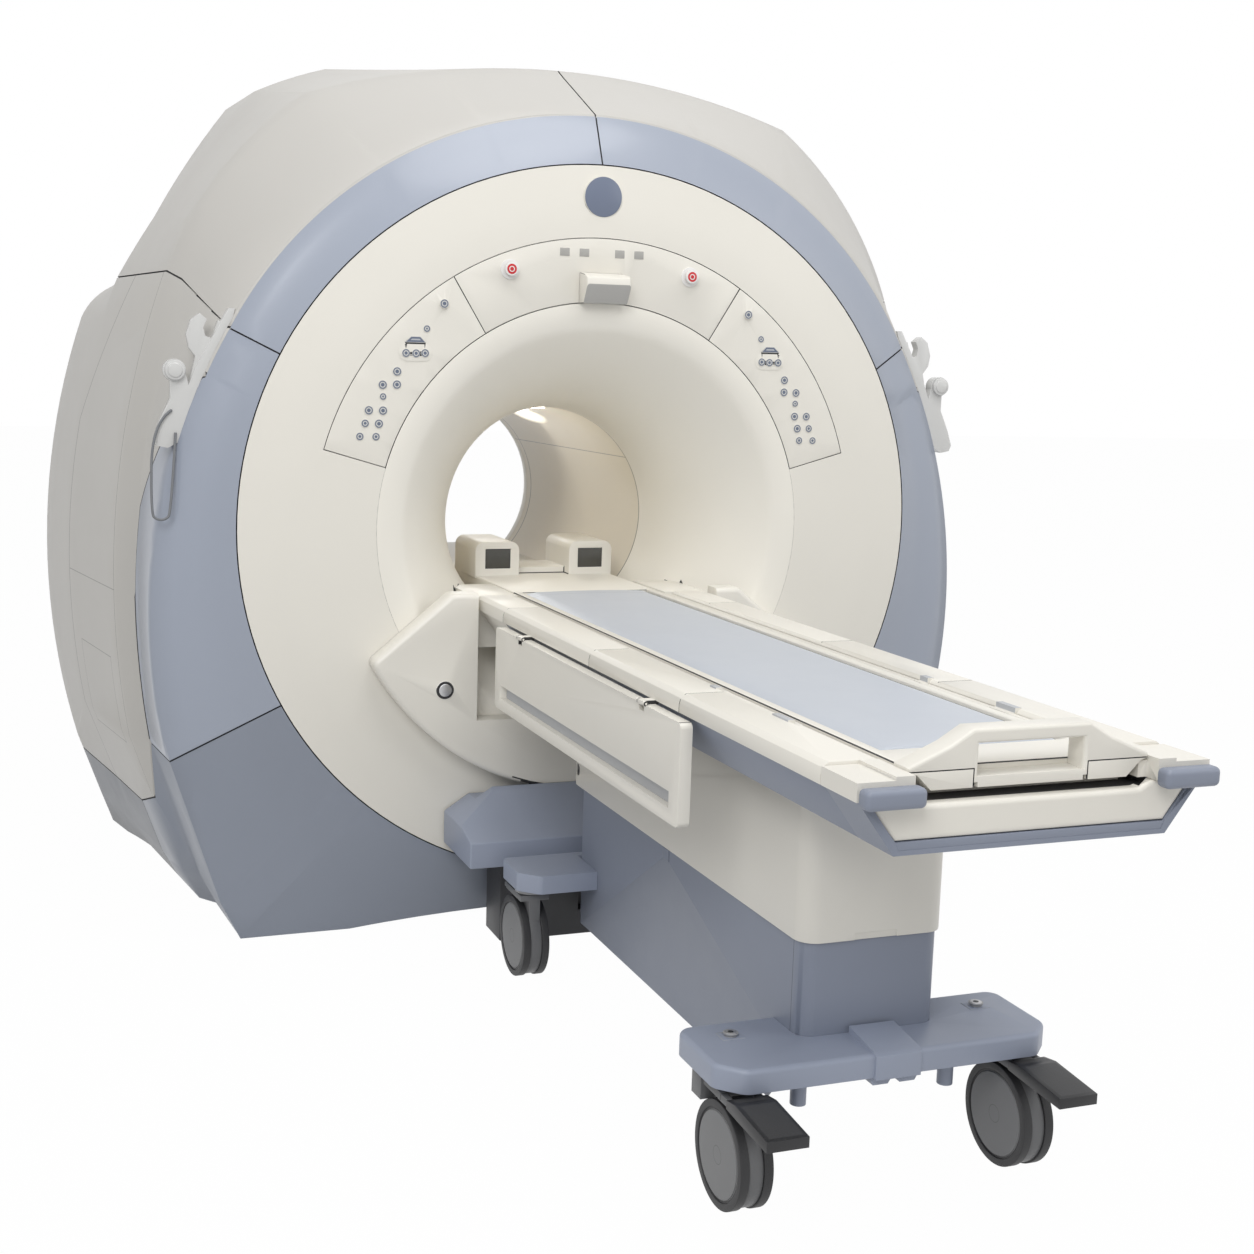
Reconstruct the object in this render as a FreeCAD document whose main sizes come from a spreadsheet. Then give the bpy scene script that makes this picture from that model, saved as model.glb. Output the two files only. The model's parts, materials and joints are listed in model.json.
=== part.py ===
import FreeCAD, Part
import Sketcher
import math
import os

# A magnetic resonance scanner with its detachable patient table, docked.
# Millimetres.  X points right as seen from the table, Y runs along the bore
# away from the table, Z is up.  The origin is on the floor, in the middle of
# the ground that the scanner and its docked table cover.

Vector = FreeCAD.Vector
document = FreeCAD.newDocument("scanner")

# ---------------------------------------------------------------- dimensions

DIMENSIONS = {
    # enclosure
    "axis_height": 1060,
    "gantry_length": 1720,
    "face_radius": 930,
    "face_crease_radius": 795,
    "face_setback": 14,
    "face_thickness": 16,
    "rim_gap": 3,
    "ring_radius": 1062,
    "ring_depth": 75,
    "cover_wall": 12,
    "seam_width": 4,
    "seam_depth": 5,
    "joint_gap": 0.6,
    "front_half_width": 1120,
    "flank_depth": 335,
    "flank_half_width": 1142,
    "flank_top": 2252,
    "brow_depth": 380,
    "brow_half_width": 1187,
    "brow_top": 2276,
    "middle_depth": 900,
    "middle_half_width": 1276,
    "middle_top": 2328,
    "hip_depth": 1300,
    "hip_half_width": 1316,
    "hip_top": 2326,
    "rear_half_width": 1270,
    "rear_top": 2285,
    "rear_cover_depth": 26,
    "shoulder_drop": 110,
    "shoulder_bulge": 45,
    "hump_drop": 92,
    "hump_edge_drop": 14,
    "hump_bulge": 20,
    "eave_drop": 108,
    "eave_bulge": 18,
    "hip_waist_height": 290,
    "side_seam_height": 1698,
    "widest_height": 1010,
    "waist_height": 480,
    "skirt_height": 100,
    "base_split_depth": 600,
    "base_seam_height": 246,
    # bore and what lies round it
    "bore_radius": 305,
    "bore_wall": 6,
    "mouth_radius": 528,
    "throat_depth": 440,
    "rear_throat_depth": 230,
    "funnel_wall": 6,
    "console_inner_radius": 585,
    "console_outer_radius": 749,
    "console_half_angle": 31.6,
    "console_seam": 2,
    "panel_outer_angle": 74,
    "panel_thickness": 7.7,
    "slip": 0.3,
    "body_coil_wall": 28,
    "gradient_coil_wall": 104,
    "vessel_radius": 955,
    "vessel_wall": 12,
    "vessel_clear": 170,
    "coil_depth": 150,
    "coil_height": 90,
    "vessel_foot_width": 260,
    "cold_head_radius": 105,
    "cold_head_top": 2240,
    "lamp_radius": 30,
    # console
    "key_radius": 11,
    "key_rise": 1.2,
    "dial_radius": 11,
    "badge_radius": 52,
    "badge_ring_radius": 851,
    "stop_ring_radius": 705,
    "stop_angle": 20.5,
    "stop_radius": 17,
    "stop_stem_radius": 8,
    "window_width": 26,
    "window_height": 20,
    "window_bottom": 1760,
    "window_inner_x": 48.5,
    "window_outer_x": 101.5,
    "visor_width": 120,
    "visor_height": 77,
    "visor_depth": 62,
    "visor_top": 1720,
    # saddle and dock
    "saddle_tip_x": 608,
    "saddle_tip_z": 733,
    "saddle_corner_x": 400,
    "saddle_corner_z": 905,
    "saddle_depth": 60,
    "channel_half_width": 332,
    "channel_floor": 575,
    "lock_x": 418,
    "lock_z": 659,
    "lock_radius": 17,
    "dock_half_width": 400,
    "dock_reach": 250,
    "dock_top": 400,
    "dock_nose_top": 306,
    "dock_nose_bottom": 240,
    "dock_undercut": 120,
    "tongue_half_width": 60,
    "tongue_bottom": 70,
    "tongue_top": 115,
    # bridge and carriage
    "deck_top": 889,
    "bridge_top": 845,
    "bridge_start": 70,
    "cradle_half_width": 200,
    "wing_gap": 8,
    "wing_length": 235,
    "carriage_gap": 0.3,
    "carriage_length": 640,
    "housing_start": 400,
    "housing_length": 210,
    "housing_inner": 75,
    "housing_outer": 206,
    "housing_top": 985,
    "socket_inner": 103,
    "socket_outer": 175,
    "socket_bottom": 910,
    "socket_top": 964,
    # table
    "table_head_gap": 8,
    "cradle_head": 60,
    "table_length": 2010,
    "cap_stand": 6,
    "rail_outer": 322,
    "rail_inner": 226,
    "rail_bottom": 858,
    "rail_top": 893,
    "strip_top": 886,
    "frame_shoulder": 316,
    "frame_keel": 250,
    "frame_bottom": 768,
    "frame_wall": 8,
    "rail_seam_one": 235,
    "rail_seam_two": 840,
    "rail_seam_three": 1320,
    "rail_end": 1870,
    "end_lip": 791,
    "end_top": 888,
    "end_pad_top": 894,
    "end_step": 262,
    "end_round": 16,
    "cap_length": 60,
    "cap_depth": 26,
    "end_setback": 35,
    "end_dip": 831,
    "handle_setback": 50,
    "cap_inner": 217,
    "cap_bottom": 850,
    "cap_top": 882,
    "cradle_top": 889,
    "cradle_floor": 880,
    "pad_half_width": 176,
    "pad_crown": 4,
    "pad_end": 1800,
    "handle_top": 954,
    "handle_half_width": 222,
    "handle_flat_half": 118,
    "handle_thickness": 42,
    "handle_slot_half": 97,
    "handle_slot_bottom": 879,
    "handle_slot_top": 931,
    "handle_shoulder": 930,
    "handle_wing_top": 899,
    "handle_wing_bottom": 892,
    "handle_bottom": 862,
    "lug_inner": 104,
    "lug_top": 893,
    "lug_groove": 2,
    # side rails
    "panel_gap": 1,
    "side_panel_thickness": 24,
    "side_panel_top": 852,
    "side_panel_bottom": 655,
    "side_panel_start": 258,
    "side_panel_end": 1388,
    "slot_bottom": 683,
    "slot_top": 715,
    "slot_margin": 45,
    "hinge_height": 855,
    "hinge_pin_radius": 2.5,
    "hinge_bracket_width": 24,
    "hinge_inset": 190,
    # pedestal and base
    "pedestal_half_width": 145,
    "pedestal_front": 1517,
    "pedestal_rear": 330,
    "pedestal_corner": 34,
    "pedestal_bottom": 116,
    "toe_back": 1400,
    "pedestal_top": 575,
    "pedestal_wall": 4,
    "latch_ahead": 878,
    "latch_width": 34,
    "latch_bottom": 430,
    "latch_top": 456,
    "port_height": 500,
    "port_radius": 15,
    "notch_half_width": 44,
    "notch_height": 13,
    "spine_bottom": 150,
    "spine_top": 200,
    "spine_toe": 25,
    "sleeve_top": 565,
    "shroud_gap": 2,
    "shroud_rear": 285,
    "shroud_bottom": 460,
    "plate_top": 280,
    "plate_bottom": 235,
    "plate_half_width": 345,
    "plate_front": 1622,
    "plate_back": 1405,
    "plate_chamfer": 45,
    "block_half_width": 47,
    "rear_plate_near": 300,
    "rear_plate_far": 470,
    "peg_x": 155,
    "peg_radius": 15,
    "peg_bottom": 166,
    "bolt_ahead": 1471,
    "bolt_inset": 83,
    "lobe_inner": 5,
    "lobe_outer": 50,
    "lobe_bottom": 217,
    "ram_radius": 30,
    "ram_near": 620,
    "ram_far": 1230,
    # casters
    "caster_x": 290,
    "front_caster": 1515,
    "rear_caster": 400,
    "caster_trail": 45,
    "wheel_radius": 98.5,
    "wheel_width": 18,
    "caster_core": 27,
    "core_radius": 95,
    "hub_radius": 79,
    "axle_radius": 9,
    "swivel_radius": 28,
    "swivel_height": 13,
    "hood_depth": 30,
    "hood_drop": 58,
    "brake_width": 80,
    "brake_length": 250,
    # hangers
    "hanger_inset": 108,
    "hanger_z": 1424,
    "hanger_depth": 100,
    "hanger_width": 44,
    "bulb_radius": 24,
    "hose_diameter": 6.5,
}


class Size:
    """A number with the sheet expression behind it: sums of sizes give both."""

    def __init__(self, value, text):
        self.value = float(value)
        self.text = text

    def __add__(self, other):
        other = as_size(other)
        return Size(self.value + other.value, f"({self.text} + {other.text})")

    def __radd__(self, other):
        return as_size(other) + self

    def __sub__(self, other):
        other = as_size(other)
        return Size(self.value - other.value, f"({self.text} - {other.text})")

    def __rsub__(self, other):
        return as_size(other) - self

    def __mul__(self, other):
        other = as_size(other)
        return Size(self.value * other.value, f"({self.text} * {other.text})")

    __rmul__ = __mul__

    def __truediv__(self, other):
        other = as_size(other)
        return Size(self.value / other.value, f"({self.text} / {other.text})")

    def __neg__(self):
        return Size(-self.value, f"(0 - {self.text})")


def as_size(number):
    return number if isinstance(number, Size) else Size(number, f"({float(number)})")


class Sheet:
    """The spreadsheet of driving dimensions, read as attributes."""

    def __init__(self, numbers):
        self.cells = document.addObject("Spreadsheet::Sheet", "dims")
        for row, (alias, number) in enumerate(numbers.items(), start=1):
            self.cells.set(f"A{row}", alias.replace("_", " "))
            self.cells.set(f"B{row}", str(number))
            self.cells.setAlias(f"B{row}", alias)
        document.recompute()
        for alias in numbers:
            setattr(self, alias, Size(self.cells.get(alias), f"dims.{alias}"))


d = Sheet(DIMENSIONS)
REACH = d.table_length + d.cap_stand
FRONT = (REACH - d.gantry_length) / 2
REAR = FRONT + d.gantry_length


def cosine(degrees):
    degrees = as_size(degrees)
    return Size(math.cos(math.radians(degrees.value)), f"cos({degrees.text} * 1 deg)")


def sine(degrees):
    degrees = as_size(degrees)
    return Size(math.sin(math.radians(degrees.value)), f"sin({degrees.text} * 1 deg)")


def bind(target, name, size):
    target.setExpression(name, as_size(size).text)


# ------------------------------------------------------------ solid builders

PIECES = {}


def piece(label, solid):
    """Name a finished sub-part: its label is the node that it becomes."""
    solid.Label = label
    PIECES[label] = solid
    return solid


def block(name, x, y, z):
    """A box between two values on each axis."""
    box = document.addObject("Part::Box", name)
    for side, axis, (low, high) in zip(("Length", "Width", "Height"), "xyz", (x, y, z)):
        bind(box, side, high - as_size(low))
        bind(box, f"Placement.Base.{axis}", low)
    return box


def ordered(a, b):
    """Two sizes, the smaller first."""
    a, b = as_size(a), as_size(b)
    return (a, b) if a.value <= b.value else (b, a)


TURNS = {"x": (Vector(0, 1, 0), 90), "y": (Vector(1, 0, 0), -90), "z": (Vector(0, 0, 1), 0)}


def rod(name, radius, start, length, along="z"):
    """A cylinder from a start point along one axis."""
    cylinder = document.addObject("Part::Cylinder", name)
    bind(cylinder, "Radius", radius)
    bind(cylinder, "Height", length)
    cylinder.Placement.Rotation = FreeCAD.Rotation(*TURNS[along])
    for axis, value in zip("xyz", start):
        bind(cylinder, f"Placement.Base.{axis}", value)
    return cylinder


def fused(name, parts):
    union = document.addObject("Part::MultiFuse", name)
    union.Shapes = parts
    return union


def carved(name, base, tools):
    """A base with one or more tools cut away."""
    cut = document.addObject("Part::Cut", name)
    cut.Base = base
    cut.Tool = tools[0] if len(tools) == 1 else fused(name + "_tools", tools)
    return cut


def shared(name, parts):
    common = document.addObject("Part::MultiCommon", name)
    common.Shapes = parts
    return common


def mirrored(name, source):
    """The same piece on the other side of the scanner."""
    twin = document.addObject("Part::Mirroring", name)
    twin.Source = source
    twin.Normal = Vector(1, 0, 0)
    return twin


def group(name, parts):
    """Separate solids that share one node."""
    bundle = document.addObject("Part::Compound", name)
    bundle.Links = parts
    return bundle


def origin_plane(body, role):
    return next(item for item in body.Origin.OriginFeatures if item.Role == role)


def corner_geometry(start, end, centre):
    """A straight edge, or the arc round a centre, between two corners."""
    if centre is None:
        return Part.LineSegment(start, end), (1, 2)
    first = start - centre
    last = end - centre
    circle = Part.Circle(centre, Vector(0, 0, 1), first.Length)
    angles = [math.atan2(v.y, v.x) for v in (first, last)]
    turn = (angles[1] - angles[0] + math.pi) % (2 * math.pi) - math.pi
    if turn >= 0:
        return Part.ArcOfCircle(circle, angles[0], angles[0] + turn), (1, 2)
    return Part.ArcOfCircle(circle, angles[1], angles[1] - turn), (2, 1)


def hold_point(sketch, edge, end, x, y):
    """Fix one point of a sketch to a pair of sizes."""
    for kind, size, other_axis in (("DistanceX", x, -2), ("DistanceY", y, -1)):
        size = as_size(size)
        if size.value == 0:
            sketch.addConstraint(Sketcher.Constraint("PointOnObject", edge, end, other_axis))
            continue
        index = sketch.addConstraint(Sketcher.Constraint(kind, -1, 1, edge, end, size.value))
        sketch.setExpression(f"Constraints[{index}]", size.text)


def draw_loop(sketch, corners):
    """A closed loop through corners (x, y) or (x, y, arc centre to the next)."""
    first_edge = sketch.GeometryCount
    count = len(corners)
    points = [Vector(as_size(c[0]).value, as_size(c[1]).value, 0) for c in corners]
    ends = []
    for index, corner in enumerate(corners):
        centre = None
        if len(corner) == 3:
            centre = Vector(as_size(corner[2][0]).value, as_size(corner[2][1]).value, 0)
        edge, order = corner_geometry(points[index], points[(index + 1) % count], centre)
        sketch.addGeometry(edge, False)
        ends.append(order)
    for index, corner in enumerate(corners):
        edge = first_edge + index
        following = first_edge + (index + 1) % count
        sketch.addConstraint(Sketcher.Constraint(
            "Coincident", edge, ends[index][1], following, ends[(index + 1) % count][0]))
        hold_point(sketch, edge, ends[index][0], corner[0], corner[1])
        if len(corner) == 3:
            centre_x = as_size(corner[2][0])
            centre_y = as_size(corner[2][1])
            flat = abs(points[index].y - points[(index + 1) % count].y) < 1e-6
            kind, size, axis = ("DistanceY", centre_y, -1) if flat else ("DistanceX", centre_x, -2)
            if size.value == 0:
                sketch.addConstraint(Sketcher.Constraint("PointOnObject", edge, 3, axis))
            else:
                held = sketch.addConstraint(
                    Sketcher.Constraint(kind, -1, 1, edge, 3, size.value))
                sketch.setExpression(f"Constraints[{held}]", size.text)


def new_sketch(body, plane, loops):
    sketch = body.newObject("Sketcher::SketchObject", body.Name + "_sketch")
    sketch.AttachmentSupport = [(origin_plane(body, plane), "")]
    sketch.MapMode = "FlatFace"
    for loop in loops:
        draw_loop(sketch, loop)
    return sketch


def extruded(name, plane, loops, low, high):
    """A PartDesign body: an outline on XY, XZ or YZ, padded from low to high."""
    body = document.addObject("PartDesign::Body", name)
    sketch = new_sketch(body, plane + "_Plane", loops)
    pad = body.newObject("PartDesign::Pad", name + "_pad")
    pad.Profile = sketch
    bind(pad, "Length", as_size(high) - low)
    axis = {"XY": "z", "XZ": "y", "YZ": "x"}[plane]
    bind(body, f"Placement.Base.{axis}", high if plane == "XZ" else low)
    document.recompute()
    return body


def turned(name, loop, sweep=360, start=0):
    """A PartDesign body turned about the bore axis from (depth, radius) corners."""
    body = document.addObject("PartDesign::Body", name)
    sketch = new_sketch(body, "YZ_Plane", [loop])
    turn = body.newObject("PartDesign::Revolution", name + "_turn")
    turn.Profile = sketch
    turn.ReferenceAxis = (sketch, ["H_Axis"])
    bind(turn, "Angle", sweep)
    body.Placement.Rotation = FreeCAD.Rotation(Vector(0, 1, 0), 1)
    bind(body, "Placement.Rotation.Angle", start)
    bind(body, "Placement.Base.y", FRONT)
    bind(body, "Placement.Base.z", d.axis_height)
    document.recompute()
    return body


def dress(body, kind, size, wanted):
    """Round or chamfer the edges of a body that pass a test."""
    base = body.Tip
    names = [f"Edge{i}" for i, e in enumerate(base.Shape.Edges, start=1) if wanted(e)]
    feature = body.newObject(f"PartDesign::{kind}", f"{body.Name}_{kind.lower()}")
    feature.Base = (base, names)
    bind(feature, "Radius" if kind == "Fillet" else "Size", size)
    document.recompute()
    return feature


def lies_at(edge, axis, value, slack=0.01):
    """Whether both ends of an edge lie at one value of a local axis."""
    return all(abs(getattr(v.Point, axis) - value) < slack for v in edge.Vertexes)


def runs_along(edge, axis):
    ends = [v.Point for v in edge.Vertexes]
    if len(ends) != 2 or ends[0].distanceToPoint(ends[1]) < 1e-6:
        return False
    way = (ends[1] - ends[0]).normalize()
    return abs(abs(getattr(way, axis)) - 1) < 1e-3


def feature(name, shape):
    solid = document.addObject("Part::Feature", name)
    solid.Shape = shape
    return solid


# ------------------------------------------------------------ the enclosure

SEAM_ANGLE = 62.2
WAIST_ANGLE = 118.0
RING_ANGLES = (0.0, 16.0, 32.0, SEAM_ANGLE, 70.0, WAIST_ANGLE, 135.0, 139.5)
SHOULDER_SHARE = 0.58
SEAM_SHARE = 0.885
HUMP_SHARE = 0.42
HIP_SEAM_SHARE = 0.822
HIP_WAIST_SHARE = 0.943
HIP_SKIRT_SHARE = 0.892
HIP_FLOOR_SHARE = 0.864
WAIST_SHARE = 0.975
SKIRT_SHARE = 0.865
FLOOR_SHARE = 0.82
OPEN_BOTTOM = -30.0


def on_circle(radius, degrees):
    angle = math.radians(degrees)
    return (radius * math.sin(angle), d.axis_height.value + radius * math.cos(angle))


def between(a, b, bulge=0.0):
    """The middle of two points, pushed outwards by a bulge."""
    across, up = b[0] - a[0], b[1] - a[1]
    length = math.hypot(across, up)
    return ((a[0] + b[0]) / 2 - up / length * bulge, (a[1] + b[1]) / 2 + across / length * bulge)


def on_crown(top, shoulder, share):
    """A point part of the way along the top arc, which is level at the crown."""
    drop = top - shoulder[1]
    radius = (shoulder[0] ** 2 + drop ** 2) / (2 * drop)
    turn = math.asin(shoulder[0] / radius) * share
    return (radius * math.sin(turn), top - radius * (1 - math.cos(turn)))


def beside(a, b, c, height):
    """The outer point at one height on the arc through three points."""
    (ax, az), (bx, bz), (cx, cz) = a, b, c
    twice = 2 * (ax * (bz - cz) + bx * (cz - az) + cx * (az - bz))
    squares = [x * x + z * z for x, z in (a, b, c)]
    x = (squares[0] * (bz - cz) + squares[1] * (cz - az) + squares[2] * (az - bz)) / twice
    z = (squares[0] * (cx - bx) + squares[1] * (ax - cx) + squares[2] * (bx - ax)) / twice
    radius = math.hypot(ax - x, az - z)
    return (x + math.sqrt(radius ** 2 - (height - z) ** 2), height)


def station_wire(depth, corners, middles):
    """A closed outline at one depth from its right half, crown to floor."""
    y = FRONT.value + depth

    def at(point, side):
        return Vector(side * point[0], y, point[1])

    def edge(start, middle, end, side):
        if middle is None:
            return Part.LineSegment(at(start, side), at(end, side)).toShape()
        return Part.Arc(at(start, side), at(middle, side), at(end, side)).toShape()

    steps = list(zip(corners, middles, corners[1:]))
    right = [edge(a, m, b, 1) for a, m, b in steps]
    left = [edge(b, m, a, -1) for a, m, b in reversed(steps)]
    foot = corners[-1]
    if middles[-1] is None:
        bottom = Part.LineSegment(at(foot, 1), at(foot, -1)).toShape()
    else:
        low = (0.0, 2 * d.axis_height.value - corners[0][1])
        bottom = Part.Arc(at(foot, 1), at(low, 1), at(foot, -1)).toShape()
    return Part.Wire(right + [bottom] + left)


def round_station(depth, radius):
    corners = [on_circle(radius, angle) for angle in RING_ANGLES]
    middles = [on_circle(radius, (a + b) / 2) for a, b in zip(RING_ANGLES, RING_ANGLES[1:])]
    return station_wire(depth, corners, middles)


def ring_station(depth, radius, half_width, floor):
    """The edge of the ring: round above, straight-sided below."""
    corners = [on_circle(radius, angle) for angle in RING_ANGLES[:4]]
    lower = lower_corners(half_width, floor)
    sides, side_middles = flank_corners(corners[-1], half_width, lower[0])
    middles = [on_circle(radius, (a + b) / 2) for a, b in zip(RING_ANGLES[:3], RING_ANGLES[1:4])]
    return station_wire(depth, corners + sides + lower, middles + side_middles + [None, None])


def lower_corners(half_width, floor, hip=False):
    """Waist, skirt and floor; the hip keeps its width further down."""
    if hip:
        return [(HIP_WAIST_SHARE * half_width, d.hip_waist_height.value),
                (HIP_SKIRT_SHARE * half_width, d.skirt_height.value),
                (HIP_FLOOR_SHARE * half_width, floor)]
    return [(WAIST_SHARE * half_width, d.waist_height.value),
            (SKIRT_SHARE * half_width, d.skirt_height.value),
            (FLOOR_SHARE * half_width, floor)]


def flank_corners(seam, half_width, waist):
    """The eave below the seam, on the flank's one arc, and the middles beside it."""
    side = (seam, (half_width, d.widest_height.value), waist)
    eave = beside(*side, seam[1] - d.eave_drop.value)
    return [eave], [beside(*side, (seam[1] + eave[1]) / 2),
                    beside(*side, (eave[1] + waist[1]) / 2)]


def body_station(depth, half_width, top, floor, hump=False, hip=False):
    """The body behind the ring: a hump has a flat top and flat shoulders, and a hip
    is drawn in at the seam."""
    seam_height = d.side_seam_height.value
    seam = (SEAM_SHARE * half_width, seam_height)
    lower = lower_corners(half_width, floor, hip)
    sides, side_middles = flank_corners(seam, half_width, lower[0])
    if hip:
        seam = (HIP_SEAM_SHARE * half_width, seam_height)
        side_middles[0] = between(seam, sides[0], d.eave_bulge.value)
    if hump:
        shoulder = (SHOULDER_SHARE * half_width, top - d.hump_drop.value)
        edge = (HUMP_SHARE * half_width, top - d.hump_edge_drop.value)
        middles = [on_crown(top, edge, 0.5), between(edge, shoulder, d.hump_bulge.value / 4),
                   between(shoulder, seam, d.hump_bulge.value)]
    else:
        shoulder = (SHOULDER_SHARE * half_width, top - d.shoulder_drop.value)
        edge = on_crown(top, shoulder, 0.5)
        middles = [on_crown(top, shoulder, 0.25), on_crown(top, shoulder, 0.75),
                   between(shoulder, seam, d.shoulder_bulge.value)]
    return station_wire(depth, [(0.0, top), edge, shoulder, seam] + sides + lower,
                        middles + side_middles + [None, None])


def hull(inset):
    """The enclosure as one solid, drawn in by an inset all round."""
    floor = 0.0 if inset == 0 else OPEN_BOTTOM
    wires = [round_station(d.face_setback.value + inset, d.face_radius.value + d.rim_gap.value),
             ring_station(d.ring_depth.value + inset / 2, d.ring_radius.value - inset,
                          d.front_half_width.value - inset, floor)]
    for name in ("flank", "brow", "middle", "hip"):
        depth, width, top = (getattr(d, f"{name}_{part}").value
                             for part in ("depth", "half_width", "top"))
        wires.append(body_station(depth, width - inset, top - inset, floor,
                                  hump=name in ("middle", "hip"), hip=name == "hip"))
    wires.append(body_station(d.gantry_length.value - inset, d.rear_half_width.value - inset,
                              d.rear_top.value - inset, floor, hump=True, hip=True))
    return Part.makeLoft(wires, True, True)


def side_blade(path, width):
    """A thin wall right across the enclosure along a (depth, height) path."""
    reach = 1.2 * d.hip_half_width.value
    walls = []
    for (y0, z0), (y1, z1) in zip(path, path[1:]):
        along = Vector(0, y1 - y0, z1 - z0)
        length = along.Length
        along.normalize()
        wall = Part.makeBox(2 * reach, length + width, width,
                            Vector(-reach, -width / 2, -width / 2))
        wall.Placement = FreeCAD.Placement(
            Vector(0, FRONT.value + y0, z0), FreeCAD.Rotation(Vector(0, 1, 0), along))
        walls.append(wall)
    return walls


def radial_blade(degrees, depth, width):
    """A thin wall out from the bore axis at an angle clockwise from the top."""
    inner = d.face_radius.value - 2 * d.cover_wall.value
    wall = Part.makeBox(width, depth + 62, 800, Vector(-width / 2, -60, inner))
    wall.Placement = FreeCAD.Placement(
        Vector(0, FRONT.value, d.axis_height.value), FreeCAD.Rotation(Vector(0, 1, 0), degrees))
    return wall


def seam_blades(width):
    """Where the covers part from each other."""
    seam = d.side_seam_height.value
    ring_y = d.ring_depth.value
    flank_y = d.flank_depth.value
    waist = d.waist_height.value
    rear_y = d.gantry_length.value - d.rear_cover_depth.value
    ring_seam = on_circle(d.ring_radius.value, SEAM_ANGLE)[1]
    over = d.middle_top.value + 200
    front_edge = [(ring_y, over), (ring_y, ring_seam - 120), (0.9 * flank_y, 1100),
                  (flank_y, 860), (flank_y, waist)]
    top_seam = [(ring_y, ring_seam), (d.brow_depth.value, seam), (rear_y, seam)]
    foot_seam = [(flank_y, waist), (d.brow_depth.value, 310),
                 (d.base_split_depth.value, d.base_seam_height.value),
                 (rear_y, d.base_seam_height.value)]
    base_split = [(d.base_split_depth.value, d.base_seam_height.value),
                  (d.base_split_depth.value, -60)]
    rear = [(rear_y, over), (rear_y, -60)]
    blades = []
    for path in (front_edge, top_seam, foot_seam, base_split, rear):
        blades += side_blade(path, width)
    for side in (-1, 1):
        blades.append(radial_blade(side * SEAM_ANGLE, ring_y, width))
        blades.append(radial_blade(side * WAIST_ANGLE, flank_y, width))
    crown = Part.makeBox(width, rear_y + 60, 1500,
                         Vector(-width / 2, FRONT.value - 60, d.axis_height.value))
    return blades + [crown]


def build_enclosure():
    """One lofted shell, parted along its seams into the covers."""
    outer = hull(0.0)
    feature("enclosure_form", outer)
    inner = hull(d.cover_wall.value)
    skin_back = hull(d.seam_depth.value)
    opening = Part.makeCylinder(d.face_radius.value + d.rim_gap.value, 120,
                                Vector(0, FRONT.value - 60, d.axis_height.value), Vector(0, 1, 0))
    rear_opening = Part.makeCylinder(
        d.console_inner_radius.value, 200,
        Vector(0, REAR.value - 100, d.axis_height.value), Vector(0, 1, 0))
    shell = outer.cut([inner, opening, rear_opening])
    grooves = [blade.cut(skin_back) for blade in seam_blades(d.seam_width.value)]
    parted = shell.cut(grooves + seam_blades(d.joint_gap.value))
    sorted_covers = {}
    for solid in parted.Solids:
        if solid.Volume < 1e5:
            continue
        label = cover_name(solid)
        sorted_covers.setdefault(label, []).append(solid)
    for label, solids in sorted_covers.items():
        shape = solids[0] if len(solids) == 1 else Part.makeCompound(solids)
        piece(label, feature(label, shape))


def cover_name(solid):
    """Which cover a solid of the parted shell is, from where its corners lie."""
    corners = [vertex.Point for vertex in solid.Vertexes]
    low_x, high_x = min(c.x for c in corners), max(c.x for c in corners)
    side = "left" if low_x + high_x < 0 else "right"
    depth = min(c.y for c in corners) - FRONT.value
    top = max(c.z for c in corners)
    bottom = min(c.z for c in corners)
    if low_x < -100 and high_x > 100:
        return "rear_cover" if depth > d.hip_depth.value else "base_cover"
    if depth < d.ring_depth.value / 2:
        return f"ring_top_{side}" if bottom > d.axis_height.value else f"ring_side_{side}"
    if top > d.side_seam_height.value + 100:
        return f"top_cover_{side}"
    if top < d.waist_height.value + 10:
        return "base_sides"
    return f"side_panel_{side}"


build_enclosure()


def deep(depth):
    """World Y at a depth behind the front face; a negative depth is in front."""
    return FRONT + depth


def polar(radius, degrees):
    """World X and Z at a radius and an angle clockwise from the crown."""
    return radius * sine(degrees), d.axis_height + radius * cosine(degrees)


def ring(name, inner, outer, start, end, sweep=360, turn=0):
    corners = [(start, inner), (end, inner), (end, outer), (start, outer)]
    return turned(name, corners, sweep, turn)


# ------------------------------------------------------------ magnet and bore

TUBE_OUTER = d.bore_radius + d.bore_wall
BODY_COIL_OUTER = TUBE_OUTER + d.slip + d.body_coil_wall
GRADIENT_OUTER = BODY_COIL_OUTER + d.slip + d.gradient_coil_wall
FUNNEL_FLANGE = 8


def bend_radius(throat):
    """The flare's radius, so that its arc runs into the tube without a corner."""
    rise = d.mouth_radius - d.bore_radius
    return (throat * throat + rise * rise) / (2 * rise)


def build_funnel(label, outer, throat, place):
    """The flared end of the bore, its arc tangent to the tube."""
    bend = bend_radius(throat)
    shrink = (bend - d.funnel_wall) / bend
    height = d.bore_radius + bend
    centre = place(throat, height)
    lip = (throat - throat * shrink, height - (height - d.mouth_radius) * shrink)
    piece(label, turned(label, [
        place(0, d.mouth_radius) + (centre,),
        place(throat, d.bore_radius),
        place(throat, TUBE_OUTER) + (centre,),
        place(*lip),
        place(FUNNEL_FLANGE, lip[1] + 10),
        place(FUNNEL_FLANGE, outer),
        place(0, outer)]))


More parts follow.
